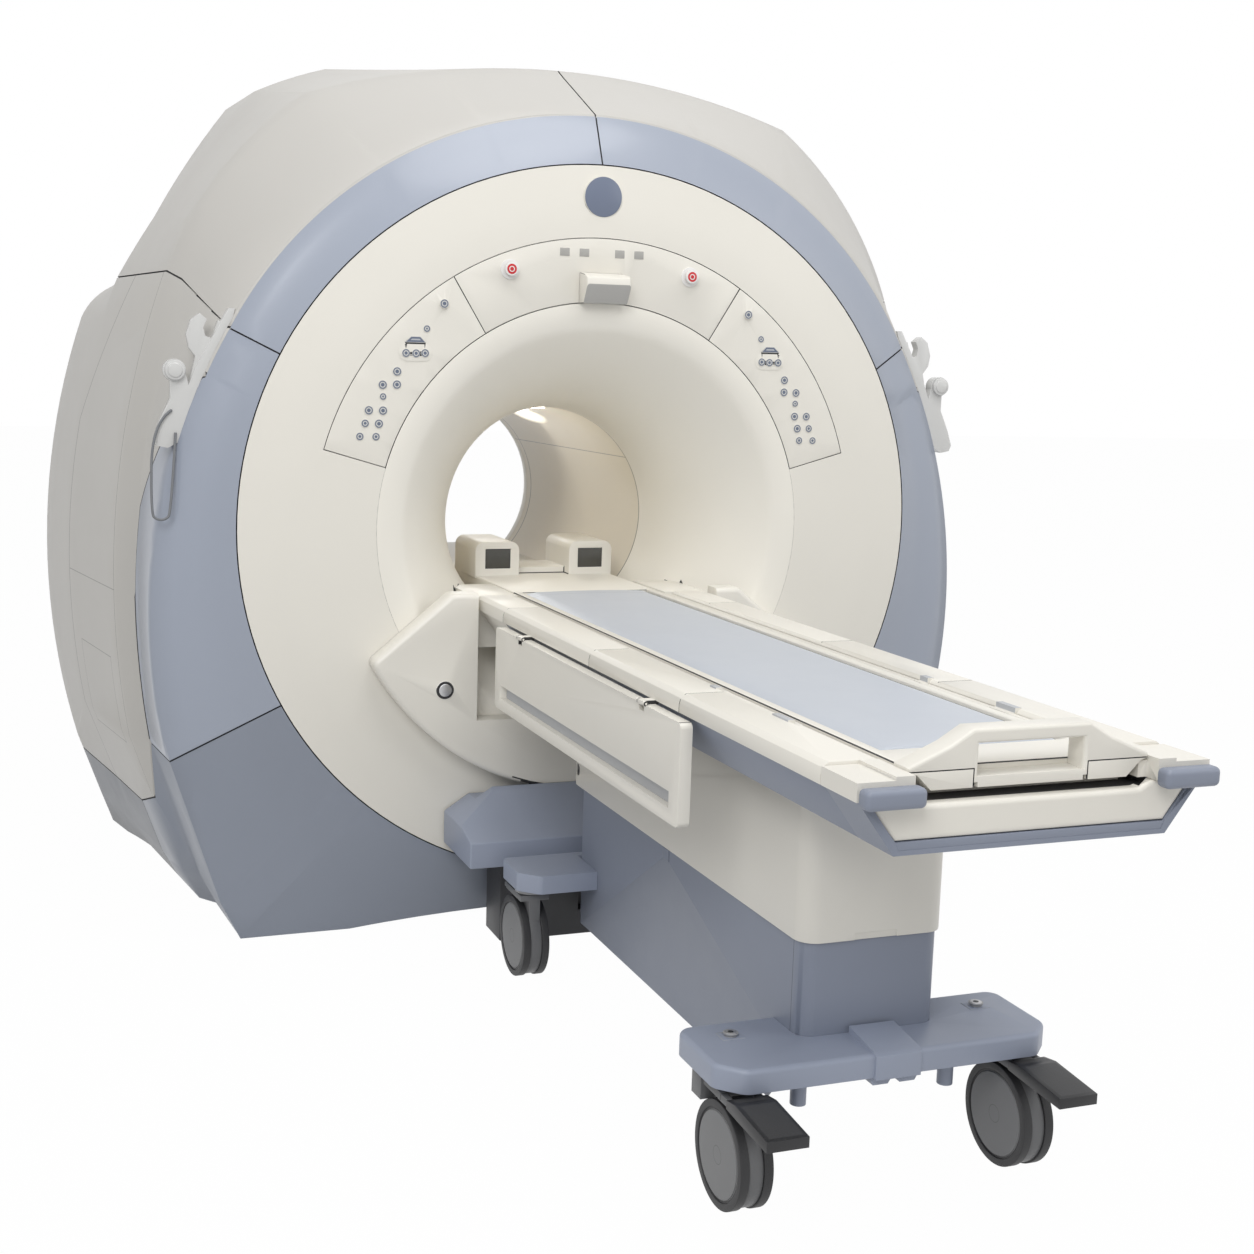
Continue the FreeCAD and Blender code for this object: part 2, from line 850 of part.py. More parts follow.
def build_bore():
    flange = d.console_inner_radius - d.slip
    build_funnel("front_funnel", flange, d.throat_depth, lambda y, r: (y, r))
    build_funnel("rear_funnel", flange, d.rear_throat_depth,
                 lambda y, r: (d.gantry_length - y, r))
    tube_start = d.throat_depth + d.slip
    tube_end = d.gantry_length - d.rear_throat_depth - d.slip
    tube = ring("bore_tube_wall", d.bore_radius, TUBE_OUTER, tube_start, tube_end)
    coil_end = d.gantry_length - tube_start
    lamp_z = d.axis_height + d.bore_radius
    lamp_y = d.throat_depth + 80
    slot = rod("lamp_hole", d.lamp_radius + d.slip, (0, deep(lamp_y), lamp_z - 12), 30)
    piece("bore_tube", carved("bore_tube_cut", tube, [slot]))
    lens = rod("lamp_lens", d.lamp_radius, (0, deep(lamp_y), lamp_z - 6), d.bore_wall + 5)
    piece("bore_lamp", lens)
    piece("body_coil", ring("body_coil_wall", TUBE_OUTER + d.slip, BODY_COIL_OUTER,
                            tube_start, coil_end))
    piece("gradient_coil", ring("gradient_coil_wall", BODY_COIL_OUTER + d.slip,
                                GRADIENT_OUTER, tube_start, coil_end))


def build_magnet():
    start = d.vessel_clear
    end = d.gantry_length - d.vessel_clear
    inner = GRADIENT_OUTER + d.slip
    drum = ring("vessel_drum", inner, d.vessel_radius, start, end)
    space = ring("vessel_space", inner + d.vessel_wall, d.vessel_radius - d.vessel_wall,
                 start + d.vessel_wall, end - d.vessel_wall)
    feet = []
    foot_top = d.axis_height - 0.85 * d.vessel_radius
    for number, (side, depth) in enumerate(((-1, 1), (1, 1), (-1, 3), (1, 3))):
        near = deep(start + (end - start) * depth / 4 - 80)
        low = side * 320 - (d.vessel_foot_width / 2)
        feet.append(block(f"vessel_foot_{number}", (low, low + d.vessel_foot_width),
                          (near, near + 160), (0, foot_top)))
    neck_y = deep(d.gantry_length / 2)
    neck_top = d.axis_height + d.vessel_radius + 20
    neck = rod("vessel_neck", d.cold_head_radius + 25, (0, neck_y, neck_top - 60), 60)
    cooler = [
        rod("cold_head_flange", d.cold_head_radius, (0, neck_y, neck_top - 5), 45),
        rod("cold_head_barrel", 0.7 * d.cold_head_radius, (0, neck_y, neck_top + 20),
            d.cold_head_top - neck_top - 60),
        rod("cold_head_motor", 0.85 * d.cold_head_radius, (0, neck_y, d.cold_head_top - 90), 90)]
    piece("vacuum_vessel", carved("vessel_shell", fused(
        "vessel_body", [drum, neck] + feet + cooler), [space]))
    coil_inner = inner + d.vessel_wall + d.slip
    former = ring("coil_former", coil_inner, coil_inner + 15,
                  start + d.vessel_wall + 1, end - d.vessel_wall - 1)
    span = end - start - 2 * d.vessel_wall - 40
    coils = [former]
    for number, share in enumerate((0.0, 0.28, 0.56, 0.84)):
        near = start + d.vessel_wall + 20 + span * share
        coils.append(ring(f"coil_{number}", coil_inner + 10, coil_inner + 15 + d.coil_height,
                          near, near + d.coil_depth))
    piece("main_coils", fused("coil_set", coils))


# ------------------------------------------------------------ front panels

KEYS = (  # share of the panel's width out from the bore, angle, size of the key
    (0.507, 53.3, 1.0), (0.574, 57.4, 1.0), (0.394, 55.6, 1.0), (0.476, 59.45, 0.8),
    (0.567, 63.5, 1.0), (0.372, 62.1, 1.0), (0.534, 66.3, 0.9), (0.339, 65.1, 1.0),
    (0.534, 69.3, 0.9), (0.301, 68.0, 0.9), (0.607, 42.3, 0.8))
PAD_KEYS = ((0.578, 49.1, 0.95), (0.460, 47.64, 0.95), (0.362, 46.2, 0.95))


def build_face():
    """The round front face, its console recess and the rim behind the ring."""
    slope = ((d.ring_depth - d.cover_wall / 2 - d.face_setback)
             / (d.ring_radius - d.cover_wall - d.face_radius - d.rim_gap))
    reach = d.rim_gap + 7
    ledge = d.face_setback + d.cover_wall + 7 * slope + 0.6
    back = d.face_thickness
    rim = d.face_radius - d.face_thickness
    face = turned("face_panel", [
        (0, d.console_inner_radius), (0, d.face_crease_radius),
        (d.face_setback, d.face_radius), (ledge, d.face_radius),
        (ledge, d.face_radius + reach), (ledge + 6, d.face_radius + reach),
        (ledge + 6, rim), (d.face_setback + back, rim),
        (back, d.face_crease_radius - 10), (back, d.console_inner_radius)])
    badge_x, badge_z = polar(d.badge_ring_radius, 0)
    badge = rod("badge_disc", d.badge_radius, (badge_x, deep(1.5), badge_z), 16, "y")
    limit = d.panel_outer_angle + 0.2
    recess = ring("console_recess", d.console_inner_radius - 2, d.console_outer_radius,
                  -4, FUNNEL_FLANGE, limit * 2, -limit)
    piece("front_face", carved("face_cut", fused("face_body", [face, badge]), [recess]))


def build_consoles():
    inner = d.console_inner_radius + d.console_seam
    outer = d.console_outer_radius - d.console_seam
    half = d.console_half_angle
    centre = ring("console_plate", inner, outer, 0, d.panel_thickness, half * 2, -half)
    raised = [centre]
    holes = []
    half_window = d.window_width / 2
    for number, x in enumerate((-d.window_outer_x, -d.window_inner_x,
                                d.window_inner_x, d.window_outer_x)):
        raised.append(block(f"window_{number}", (x - half_window, x + half_window),
                            (deep(-1.2), deep(3)),
                            (d.window_bottom, d.window_bottom + d.window_height)))
    for side, word in ((-1, "left"), (1, "right")):
        x, z = polar(d.stop_ring_radius, side * d.stop_angle)
        raised.append(rod(f"stop_collar_{word}", d.stop_radius + 8, (x, deep(-4), z), 8, "y"))
        holes.append(rod(f"stop_hole_{word}", d.stop_stem_radius + d.slip,
                         (x, deep(-20), z), 40, "y"))
        cap = rod(f"stop_cap_{word}", d.stop_radius, (x, deep(-18), z), 9, "y")
        stem = rod(f"stop_stem_{word}", d.stop_stem_radius, (x, deep(-12), z), 15, "y")
        piece(f"stop_button_{word}", fused(f"stop_{word}", [cap, stem]))
    piece("console_panel", carved("console_cut", fused("console_body", raised), holes))
    width = d.console_outer_radius - d.console_inner_radius
    start = half + 0.2
    plate = ring("control_plate", inner, outer, 0, d.panel_thickness,
                 d.panel_outer_angle - start, -d.panel_outer_angle)
    bits = [plate]
    for number, (share, angle, size) in enumerate(KEYS):
        x, z = polar(d.console_inner_radius + share * width, -angle)
        bits.append(rod(f"key_{number}", d.key_radius * size, (x, deep(-d.key_rise), z), 4, "y"))
    for number, (share, angle, size) in enumerate(PAD_KEYS):
        x, z = polar(d.console_inner_radius + share * width, -angle)
        bits.append(rod(f"pad_key_{number}", d.key_radius * size,
                        (x, deep(-2 * d.key_rise), z), 5, "y"))
    x, z = polar(d.console_inner_radius + 0.47 * width, as_size(-47.6))
    pad_body = extruded("key_pad", "XZ", [[(x - 22, z - 21, (x - 22, z)), (x - 22, z + 21),
                                           (x + 22, z + 21, (x + 22, z)), (x + 22, z - 21)]],
                        deep(-d.key_rise), deep(3))
    screen = extruded("key_screen", "XZ", [[(x - 28, z + 25), (x - 12, z + 40),
                                            (x + 12, z + 40), (x + 26, z + 25)]],
                      deep(-d.key_rise), deep(3))
    x, z = polar(d.console_inner_radius + 0.738 * width, -36.3)
    dial = rod("dial", d.dial_radius, (x, deep(-7), z), 10, "y")
    left = fused("control_left", bits + [pad_body, screen, dial])
    piece("control_panels", group("control_pair", [left, mirrored("control_right", left)]))
    top = d.visor_top
    bottom = top - d.visor_height
    reach = d.visor_depth
    visor = extruded("visor_body", "YZ", [[
        (deep(-0.3), bottom), (deep(-0.3), top), (deep(-0.65 * reach), top - 6),
        (deep(-0.94 * reach), top - 14), (deep(-reach), top - 30), (deep(-0.55 * reach), bottom)]],
        -d.visor_width / 2, d.visor_width / 2)
    dress(visor, "Fillet", 7, lambda e: runs_along(e, "y") and e.CenterOfMass.z > top.value - 12
          or (abs(e.CenterOfMass.y - deep(-d.visor_depth).value) < 8
              and not runs_along(e, "x")))
    piece("laser_visor", visor)


# ------------------------------------------------------------ saddle and dock

def build_saddle():
    tip_x, tip_z = d.saddle_tip_x, d.saddle_tip_z
    corner_x, corner_z = d.saddle_corner_x, d.saddle_corner_z
    side = d.channel_half_width
    floor = d.channel_floor
    plate = extruded("saddle_plate", "XZ", [[
        (tip_x, tip_z, (0, d.axis_height)), (-tip_x, tip_z), (-corner_x, corner_z),
        (-side, corner_z), (-side, floor), (side, floor), (side, corner_z),
        (corner_x, corner_z)]], deep(-d.saddle_depth), deep(-d.slip))
    dress(plate, "Fillet", 22, lambda e: runs_along(e, "y") and abs(e.CenterOfMass.x) > 350)
    front = min(v.Point.y for v in plate.Tip.Shape.Vertexes)
    dress(plate, "Fillet", 14, lambda e: lies_at(e, "y", front) and (
        e.CenterOfMass.z < 560 or abs(e.CenterOfMass.x) > 340))
    lock = (-d.lock_x, d.lock_z)
    collar = rod("lock_collar", d.lock_radius + 6, (lock[0], deep(-d.saddle_depth - 1.5),
                                                    lock[1]), 8, "y")
    hole = rod("lock_hole", d.lock_radius + 0.5, (lock[0], deep(-d.saddle_depth - 10), lock[1]),
               34, "y")
    piece("saddle_cover", carved("saddle_cut", fused("saddle_body", [plate, collar]), [hole]))
    piece("lock_button", rod("lock_plug", d.lock_radius,
                             (lock[0], deep(-d.saddle_depth - 4), lock[1]), 22, "y"))


def build_dock():
    half = d.dock_half_width
    reach = d.dock_reach
    low, nose, top = d.dock_nose_bottom, d.dock_nose_top, d.dock_top
    start = d.saddle_depth + d.slip * 2
    profile = extruded("dock_profile", "YZ", [[
        (deep(-reach), low), (deep(-reach), nose), (deep(-0.62 * reach), nose + 24),
        (deep(-0.36 * reach), top - 8), (deep(-start), top), (deep(-start), 369),
        (deep(-d.slip), 369), (deep(-d.slip), low)]], -half, half)
    crown = extruded("dock_crown", "XZ", [[
        (-half, low), (-half, nose + 20), (-0.72 * half, top), (0.72 * half, top),
        (half, nose + 20), (half, low)]], deep(-reach), deep(-d.slip))
    piece("dock_unit_cover", shared("dock_cover", [profile, crown]))
    narrow = half - d.dock_undercut
    body = block("dock_body", (-narrow, narrow), (deep(-0.5 * reach), deep(-d.slip)),
                 (0, low - d.slip))
    wide = d.tongue_half_width + 4
    mouth = block("dock_mouth", (-wide, wide), (deep(-reach), deep(-0.35 * reach)),
                  (d.tongue_bottom - 4, d.tongue_top + 4))
    piece("dock_unit_body", carved("dock_base", body, [mouth]))


# ------------------------------------------------------------ bridge and carriage

def bore_space():
    """The clear space inside the funnels and the tube, a slip smaller."""
    mouth = d.mouth_radius - d.slip
    waist = d.bore_radius - d.slip
    near = d.throat_depth
    far = d.gantry_length - d.rear_throat_depth
    return turned("bore_space", [
        (0, 0), (0, mouth, (near, d.bore_radius + bend_radius(near))), (near, waist),
        (far, waist, (far, d.bore_radius + bend_radius(d.rear_throat_depth))),
        (d.gantry_length, mouth), (d.gantry_length, 0)])


def build_bridge():
    deck = d.bridge_top
    half = d.cradle_half_width + d.wing_gap
    end = d.gantry_length - d.bridge_start
    beam = block("bridge_beam", (-half, half), (deep(d.bridge_start), deep(end)),
                 (d.axis_height - d.bore_radius - 60, deck))
    wings = []
    for side, word in ((-1, "left"), (1, "right")):
        x = (half, d.rail_outer + 4) if side > 0 else (-d.rail_outer - 4, -half)
        wings.append(block(f"bridge_wing_{word}", x, (deep(5), deep(d.wing_length)),
                           (deck - 90, d.deck_top)))
        bar = (half - 20, half + 30) if side > 0 else (-half - 30, -half + 20)
        wings.append(block(f"bridge_root_{word}", bar, (deep(d.bridge_start),
                           deep(d.wing_length)), (deck - 90, deck - 40)))
    body = fused("bridge_body", [beam] + wings)
    piece("bridge", shared("bridge_fit", [body, bore_space()]))


def build_carriage():
    deck_low = d.bridge_top + d.slip
    start = d.cradle_head + d.carriage_gap
    half = d.cradle_half_width
    deck = block("carriage_deck", (-half, half), (deep(start), deep(start + d.carriage_length)),
                 (deck_low, d.deck_top))
    solids = [deck]
    pockets = []
    sockets = []
    first = deep(d.housing_start)
    last = deep(d.housing_start + d.housing_length)
    for side, word in ((-1, "left"), (1, "right")):
        x = ordered(side * d.housing_inner, side * d.housing_outer)
        shell = extruded(f"housing_{word}", "XZ", [[
            (x[0], d.deck_top - 6), (x[0], d.housing_top), (x[1], d.housing_top),
            (x[1], d.deck_top - 6)]], first, last)
        dress(shell, "Fillet", 26, lambda e: runs_along(e, "y") and e.CenterOfMass.z > 950)
        solids.append(shell)
        x = ordered(side * d.socket_inner, side * d.socket_outer)
        pockets.append(block(f"socket_pocket_{word}", (x[0] - d.slip, x[1] + d.slip),
                             (first - 5, first + 5), (d.socket_bottom - d.slip,
                                                      d.socket_top + d.slip)))
        sockets.append(block(f"socket_{word}", (x[0], x[1]), (first + 1.2, first + 4.7),
                             (d.socket_bottom, d.socket_top)))
    ridge = block("carriage_ridge", (-d.housing_inner - 5, d.housing_inner + 5),
                  (first + 40, last - 10), (d.deck_top - 6, d.deck_top + 18))
    piece("carriage", carved("carriage_cut", fused("carriage_body", solids + [ridge]), pockets))
    piece("coil_sockets", group("socket_pair", sockets))


build_bore()
build_magnet()
build_face()
build_consoles()
build_saddle()
build_dock()
build_bridge()
build_carriage()


# ------------------------------------------------------------ hangers and call cord

def hanger_middle():
    """World X and Z of the left hanger's middle, which follows the flank."""
    return d.hanger_inset - d.front_half_width, d.hanger_z


def build_hangers():
    """A hook with a call bulb on each flank, fitted to the cover behind it."""
    x, z = hanger_middle()
    near = deep(d.hanger_depth - d.hanger_width / 2)
    far = deep(d.hanger_depth + d.hanger_width / 2)
    strip = extruded("hanger_strip", "XZ", [[
        (x + 90, z + 178), (x + 75, z + 178), (x - 5, z + 36), (x - 44, z - 60),
        (x - 64, z - 150), (x + 10, z - 150)]], near, far)
    hook = extruded("hanger_hook", "XZ", [[
        (x + 6, z + 164), (x - 15, z + 148), (x - 26, z + 112), (x - 21, z + 82),
        (x - 5, z + 61), (x - 12, z + 30), (x - 28, z - 50), (x + 8, z - 30),
        (x + 30, z + 40), (x + 34, z + 72), (x + 62, z + 144), (x + 50, z + 148),
        (x + 36, z + 104), (x + 19, z + 110), (x + 14, z + 130), (x + 23, z + 150)]],
        near + 8, far - 8)
    tongue = extruded("hanger_tongue", "XZ", [[
        (x - 30, z + 20), (x - 24, z - 5), (x - 18, z - 60), (x - 35, z - 99), (x - 48, z - 147),
        (x - 74, z - 162), (x - 100, z - 157), (x - 107, z - 141), (x - 93, z - 100),
        (x - 66, z - 42), (x - 66, z + 20)]], near, far - 4)
    dress(tongue, "Fillet", 5, lambda e: runs_along(e, "y"))
    backing = feature("hanger_fit", hull(-d.slip.value))
    seat = rod("bulb_seat", d.bulb_radius + 3, (x - 56, near - 1.7, z + 26), 30, "y")
    body = fused("hanger_body", [strip, hook, tongue, seat])
    left = carved("hanger_left", body, [backing])
    piece("hangers", group("hanger_pair", [left, mirrored("hanger_right", left)]))
    bulb = rod("bulb_drum", d.bulb_radius, (x - 56, near - 12, z + 26), 10, "y")
    face = rod("bulb_face", 0.72 * d.bulb_radius, (x - 56, near - 15, z + 26), 5, "y")
    bulb_left = fused("bulb_left", [bulb, face])
    return bulb_left


HOSE_TURNS = (  # across, forward, up from the hanger's middle
    (-64, 0, -70), (-112, 0, -100), (-120, -30, -320), (-106, -30, -334), (-86, -30, -334),
    (-72, -30, -320), (-56, 0, -125))


def hose_route():
    x, z = (size.value for size in hanger_middle())
    near = deep(d.hanger_depth - d.hanger_width / 2)
    y = (near - d.hose_diameter / 2 - d.slip).value
    return [Vector(x + dx, y + dy, z + dz) for dx, dy, dz in HOSE_TURNS]


def tube_along(points, diameter):
    """A round cord: straight runs with arcs tangent to them at every turn."""
    edges = []
    last = points[0]
    for before, corner, after in zip(points, points[1:], points[2:]):
        back = (before - corner).normalize()
        on = (after - corner).normalize()
        turn = math.pi - back.getAngle(on)
        run = min((before - corner).Length, (after - corner).Length)
        radius = 0.45 * run / math.tan(turn / 2)
        reach = radius * math.tan(turn / 2)
        start = corner + back * reach
        end = corner + on * reach
        inward = (back + on).normalize()
        middle = corner + inward * (radius / math.cos(turn / 2) - radius)
        edges.append(Part.makeLine(last, start))
        edges.append(Part.Arc(start, middle, end).toShape())
        print(f"cord bend radius {radius:.1f}")
        last = end
    edges.append(Part.makeLine(last, points[-1]))
    path = Part.Wire(edges)
    profile = Part.Wire(Part.makeCircle(diameter / 2, points[0], points[1] - points[0]))
    return path.makePipeShell([profile], True, False)


# ------------------------------------------------------------ table top

def table_y(length):
    """World Y at a distance ahead of the front face."""
    return FRONT - length


def trough(name, inset, start, end, top=None):
    """The table's tapering underside as a closed box section."""
    shoulder = d.rail_bottom - d.slip if top is None else top
    keel = d.frame_bottom + inset
    wide = d.frame_shoulder - inset
    narrow = d.frame_keel - inset
    channel = d.cradle_half_width + 24
    deck = d.bridge_top
    outer = [(-wide, shoulder), (-narrow, keel), (narrow, keel), (wide, shoulder),
             (channel, shoulder), (channel, deck), (-channel, deck), (-channel, shoulder)]
    wall = d.frame_wall
    low = keel + wall
    high = deck - wall
    inner = [(-narrow - 18, high), (-narrow + wall, low), (narrow - wall, low),
             (narrow + 18, high)]
    return extruded(name, "XZ", [outer, inner], table_y(end), table_y(start))


def build_table_frame():
    gap = d.joint_gap / 2
    head = trough("head_fairing", 0, d.table_head_gap, d.rail_seam_one - gap)
    piece("head_fairing", head)
    frame = trough("frame_trough", 0, d.rail_seam_one + gap, d.rail_end)
    rams = [rod(f"lift_ram_{number}", d.ram_radius, (0, table_y(ahead), 310),
                d.frame_bottom - 306) for number, ahead in enumerate((d.ram_near, d.ram_far))]
    piece("table_frame", fused("table_frame_body", [frame] + rams))
    end = d.table_length - d.end_setback + 2
    foot = trough("foot_trough", 0, d.rail_end + gap * 2, end)
    rim = d.table_length - 58
    wide = d.frame_shoulder - 14
    bed = extruded("foot_recess", "XZ", [[
        (-wide, 900), (-wide, d.rail_bottom), (-d.frame_keel + 2, d.end_lip - 0.5),
        (d.frame_keel - 2, d.end_lip - 0.5), (wide, d.rail_bottom), (wide, 900)]],
        table_y(end + 20), table_y(rim))
    piece("foot_frame", carved("foot_cut", foot, [bed]))


def build_rails():
    start, end = d.table_head_gap, d.rail_end
    outer, inner = d.rail_outer, d.rail_inner
    bars = []
    cuts = []
    for side, word in ((-1, "left"), (1, "right")):
        s = -1 if side < 0 else 1
        bar = extruded(f"rail_bar_{word}", "XZ", [[
            (inner * s, d.rail_bottom), (inner * s, d.rail_top - 7),
            ((inner + 6) * s, d.rail_top), ((outer - 14) * s, d.rail_top),
            ((outer - 3) * s, d.rail_top - 8), (outer * s, d.rail_top - 20),
            (outer * s, d.rail_bottom)]], table_y(end), table_y(start))
        inner_bar = extruded(f"track_bar_{word}", "XZ", [[
            ((inner - 18) * s, d.bridge_top + d.slip), ((inner - 18) * s, d.strip_top),
            ((inner - 6) * s, d.strip_top), ((inner - 6) * s, d.rail_bottom + 6),
            ((inner + 2) * s, d.rail_bottom + 6), ((inner + 2) * s, d.rail_bottom),
            ((inner - 4) * s, d.rail_bottom), ((inner - 4) * s, d.bridge_top + d.slip)]],
            table_y(end), table_y(start))
        parts = [bar, inner_bar]
        for number, ahead in enumerate((d.side_panel_start + d.hinge_inset,
                                        d.side_panel_end - d.hinge_inset)):
            half = d.hinge_bracket_width / 2
            x = hinge_x() * s
            reach = ordered(x + 4 * s, (d.frame_shoulder + d.slip) * s)
            parts.append(block(f"hinge_bracket_{word}_{number}", (reach[0], reach[1]),
                               (table_y(ahead + half), table_y(ahead - half)),
                               (d.hinge_height - 4, d.hinge_height + 4)))
            parts.append(rod(f"hinge_pin_{word}_{number}", d.hinge_pin_radius,
                             (x, table_y(ahead + half + 12), d.hinge_height),
                             2 * half + 24, "y"))
        for number, (ahead, half) in enumerate(((d.rail_seam_three - 40, 14), (1560, 30))):
            place = (table_y(as_size(ahead) + half), table_y(as_size(ahead) - half))
            clip = ordered((d.handle_half_width + d.slip * 2) * s, (inner + 10) * s)
            parts.append(block(f"rail_clip_{word}_{number}", (clip[0], clip[1]), place,
                               (d.strip_top - 8, d.rail_top + 3)))
            foot = ordered((inner - 18) * s, (inner - 2) * s)
            parts.append(block(f"clip_foot_{word}_{number}", (foot[0], foot[1]), place,
                               (d.strip_top - 8, d.strip_top + 0.8)))
        bars.append(fused(f"rail_{word}_body", parts))
        for number, ahead in enumerate((d.rail_seam_one, d.rail_seam_two, d.rail_seam_three)):
            for step, (low, high, far) in enumerate((
                    (d.rail_top - 2.5, d.rail_top + 5, outer + 6),
                    (d.rail_bottom - 2, d.rail_top + 5, outer + 6))):
                near = inner + 4 if step == 0 else outer - 2.5
                span = ordered(near * s, far * s)
                cuts.append(block(f"rail_seam_{word}_{number}_{step}", (span[0], span[1]),
                                  (table_y(ahead + 1), table_y(ahead - 1)), (low, high)))
    piece("table_rails", group("rail_pair", [
        carved("rail_left", bars[0], cuts[:6]), carved("rail_right", bars[1], cuts[6:])]))


def hinge_x():
    return d.rail_outer + d.panel_gap + d.side_panel_thickness


def build_foot_end():
    far = d.table_length
    half = d.frame_keel
    plate = extruded("end_plate", "XZ", [[
        (-d.frame_shoulder + 16, d.end_top), (-d.frame_shoulder + 16, d.rail_bottom),
        (-half + 3, d.end_lip), (half - 3, d.end_lip),
        (d.frame_shoulder - 16, d.rail_bottom), (d.frame_shoulder - 16, d.end_top),
        (d.end_step, d.end_top), (d.cradle_half_width - 2, d.end_dip),
        (-d.cradle_half_width + 2, d.end_dip), (-d.end_step, d.end_top)]],
        table_y(far - d.end_setback), table_y(far - d.cap_length + 3))
    dress(plate, "Fillet", d.end_round, lambda e: runs_along(e, "y")
          and abs(e.CenterOfMass.x) < d.end_step.value + 1
          and e.CenterOfMass.z > d.end_dip.value - 1)
    dress(plate, "Fillet", 9, lambda e: e.CenterOfMass.y < min(
        v.Point.y for v in plate.Shape.Vertexes) - plate.Placement.Base.y + 1)
    caps = []
    ends = []
    for side, word in ((-1, "left"), (1, "right")):
        s = -1 if side < 0 else 1
        x = ordered(d.cap_inner * s, d.rail_outer * s)
        near, back = table_y(far + d.cap_stand), table_y(far - d.cap_depth + d.slip)
        cap = extruded(f"corner_cap_{word}", "XY", [[
            (x[0], near), (x[1], near), (x[1], back), (x[0], back)]], d.cap_bottom, d.cap_top)
        dress(cap, "Fillet", 10, lambda e: runs_along(e, "z")
              and e.CenterOfMass.y < table_y(far).value)
        caps.append(cap)
        place = (table_y(far - d.cap_length + 5), table_y(d.rail_end + 2))
        split = d.end_step - 6
        x = ordered(split * s, d.rail_outer * s)
        bumper = (table_y(far - d.cap_depth), table_y(d.rail_end + 2))
        ends.append(block(f"rail_end_{word}", (x[0], x[1]), bumper,
                          (d.rail_bottom, d.end_top)))
        x = ordered((d.handle_half_width + d.slip * 2) * s, split * s)
        ends.append(block(f"end_pad_{word}", (x[0], x[1]), bumper,
                          (d.rail_bottom, d.end_pad_top)))
        x = ordered((d.cradle_half_width + 6) * s, (d.handle_half_width + 2) * s)
        ends.append(block(f"end_step_{word}", (x[0], x[1]), place,
                          (d.rail_bottom, d.strip_top)))
    piece("corner_caps", group("cap_pair", caps))
    piece("end_frame", fused("end_frame_body", [plate] + ends))


# ------------------------------------------------------------ cradle, pad and handle

def build_cradle():
    half = d.cradle_half_width
    head = deep(d.cradle_head)
    foot = table_y(d.table_length - d.handle_setback - d.handle_thickness - d.slip)
    low = d.bridge_top + d.slip
    tray = block("cradle_tray", (-half, half), (foot, head), (low, d.cradle_top))
    bed = block("cradle_bed", (-d.pad_half_width - 1, d.pad_half_width + 1),
                (table_y(d.pad_end + 1), head + 5), (d.cradle_floor, d.cradle_top + 5))
    piece("cradle", carved("cradle_cut", tray, [bed]))
    crown = d.pad_crown
    wide = d.pad_half_width
    side_top = d.cradle_top - 1
    radius = (wide * wide + crown * crown) / (2 * crown)
    centre = (0, side_top + crown - radius)
    pad = extruded("pad_body", "XZ", [[
        (-wide + 2, d.cradle_floor + d.slip), (-wide, side_top - 4), (-wide + 2, side_top, centre),
        (wide - 2, side_top), (wide, side_top - 4), (wide - 2, d.cradle_floor + d.slip)]],
        table_y(d.pad_end), head - 2)
    piece("pad", pad)
    build_handle()


def build_handle():
    """The pull bar across the cradle's foot, with a lug panel at each end."""
    top = d.handle_top
    wing = d.handle_half_width
    flat = d.handle_flat_half
    low_half = d.cradle_half_width - 20
    step = (d.rail_inner - 20, d.strip_top + 1.5)
    outline = [(-wing, d.handle_wing_top), (-flat - 30, d.handle_shoulder),
               (-flat + 10, top), (flat - 10, top),
               (flat + 30, d.handle_shoulder), (wing, d.handle_wing_top),
               (wing, d.handle_wing_bottom), step, (low_half, d.handle_bottom),
               (-low_half, d.handle_bottom), (-step[0], step[1]),
               (-wing, d.handle_wing_bottom)]
    slot = [(-d.handle_slot_half, d.handle_slot_bottom), (-d.handle_slot_half, d.handle_slot_top),
            (d.handle_slot_half, d.handle_slot_top), (d.handle_slot_half, d.handle_slot_bottom)]
    front = table_y(d.table_length - d.handle_setback)
    grip = extruded("handle_body", "XZ", [outline, slot], front, front + d.handle_thickness)
    face_y = min(v.Point.y for v in grip.Tip.Shape.Vertexes)
    dress(grip, "Fillet", 6, lambda e: lies_at(e, "y", face_y)
          and e.CenterOfMass.z > d.handle_wing_bottom.value + 1)
    grooves = []
    for side, word in ((-1, "left"), (1, "right")):
        across = ordered(d.lug_inner * side, (wing + 5) * side)
        upright = ordered(d.lug_inner * side, (d.lug_inner + d.lug_groove) * side)
        mouth = ordered((d.lug_inner - 7) * side, (d.lug_inner + 1) * side)
        grooves += [
            block(f"lug_top_{word}", across, (front - 5, front + 3),
                  (d.lug_top - d.lug_groove, d.lug_top)),
            block(f"lug_edge_{word}", upright, (front - 5, front + 3),
                  (d.handle_bottom - 5, d.lug_top)),
            block(f"lug_mouth_{word}", mouth, (front - 5, front + 9),
                  (d.handle_bottom - 5, d.handle_bottom + 8))]
    piece("foot_handle", carved("handle_cut", grip, grooves))


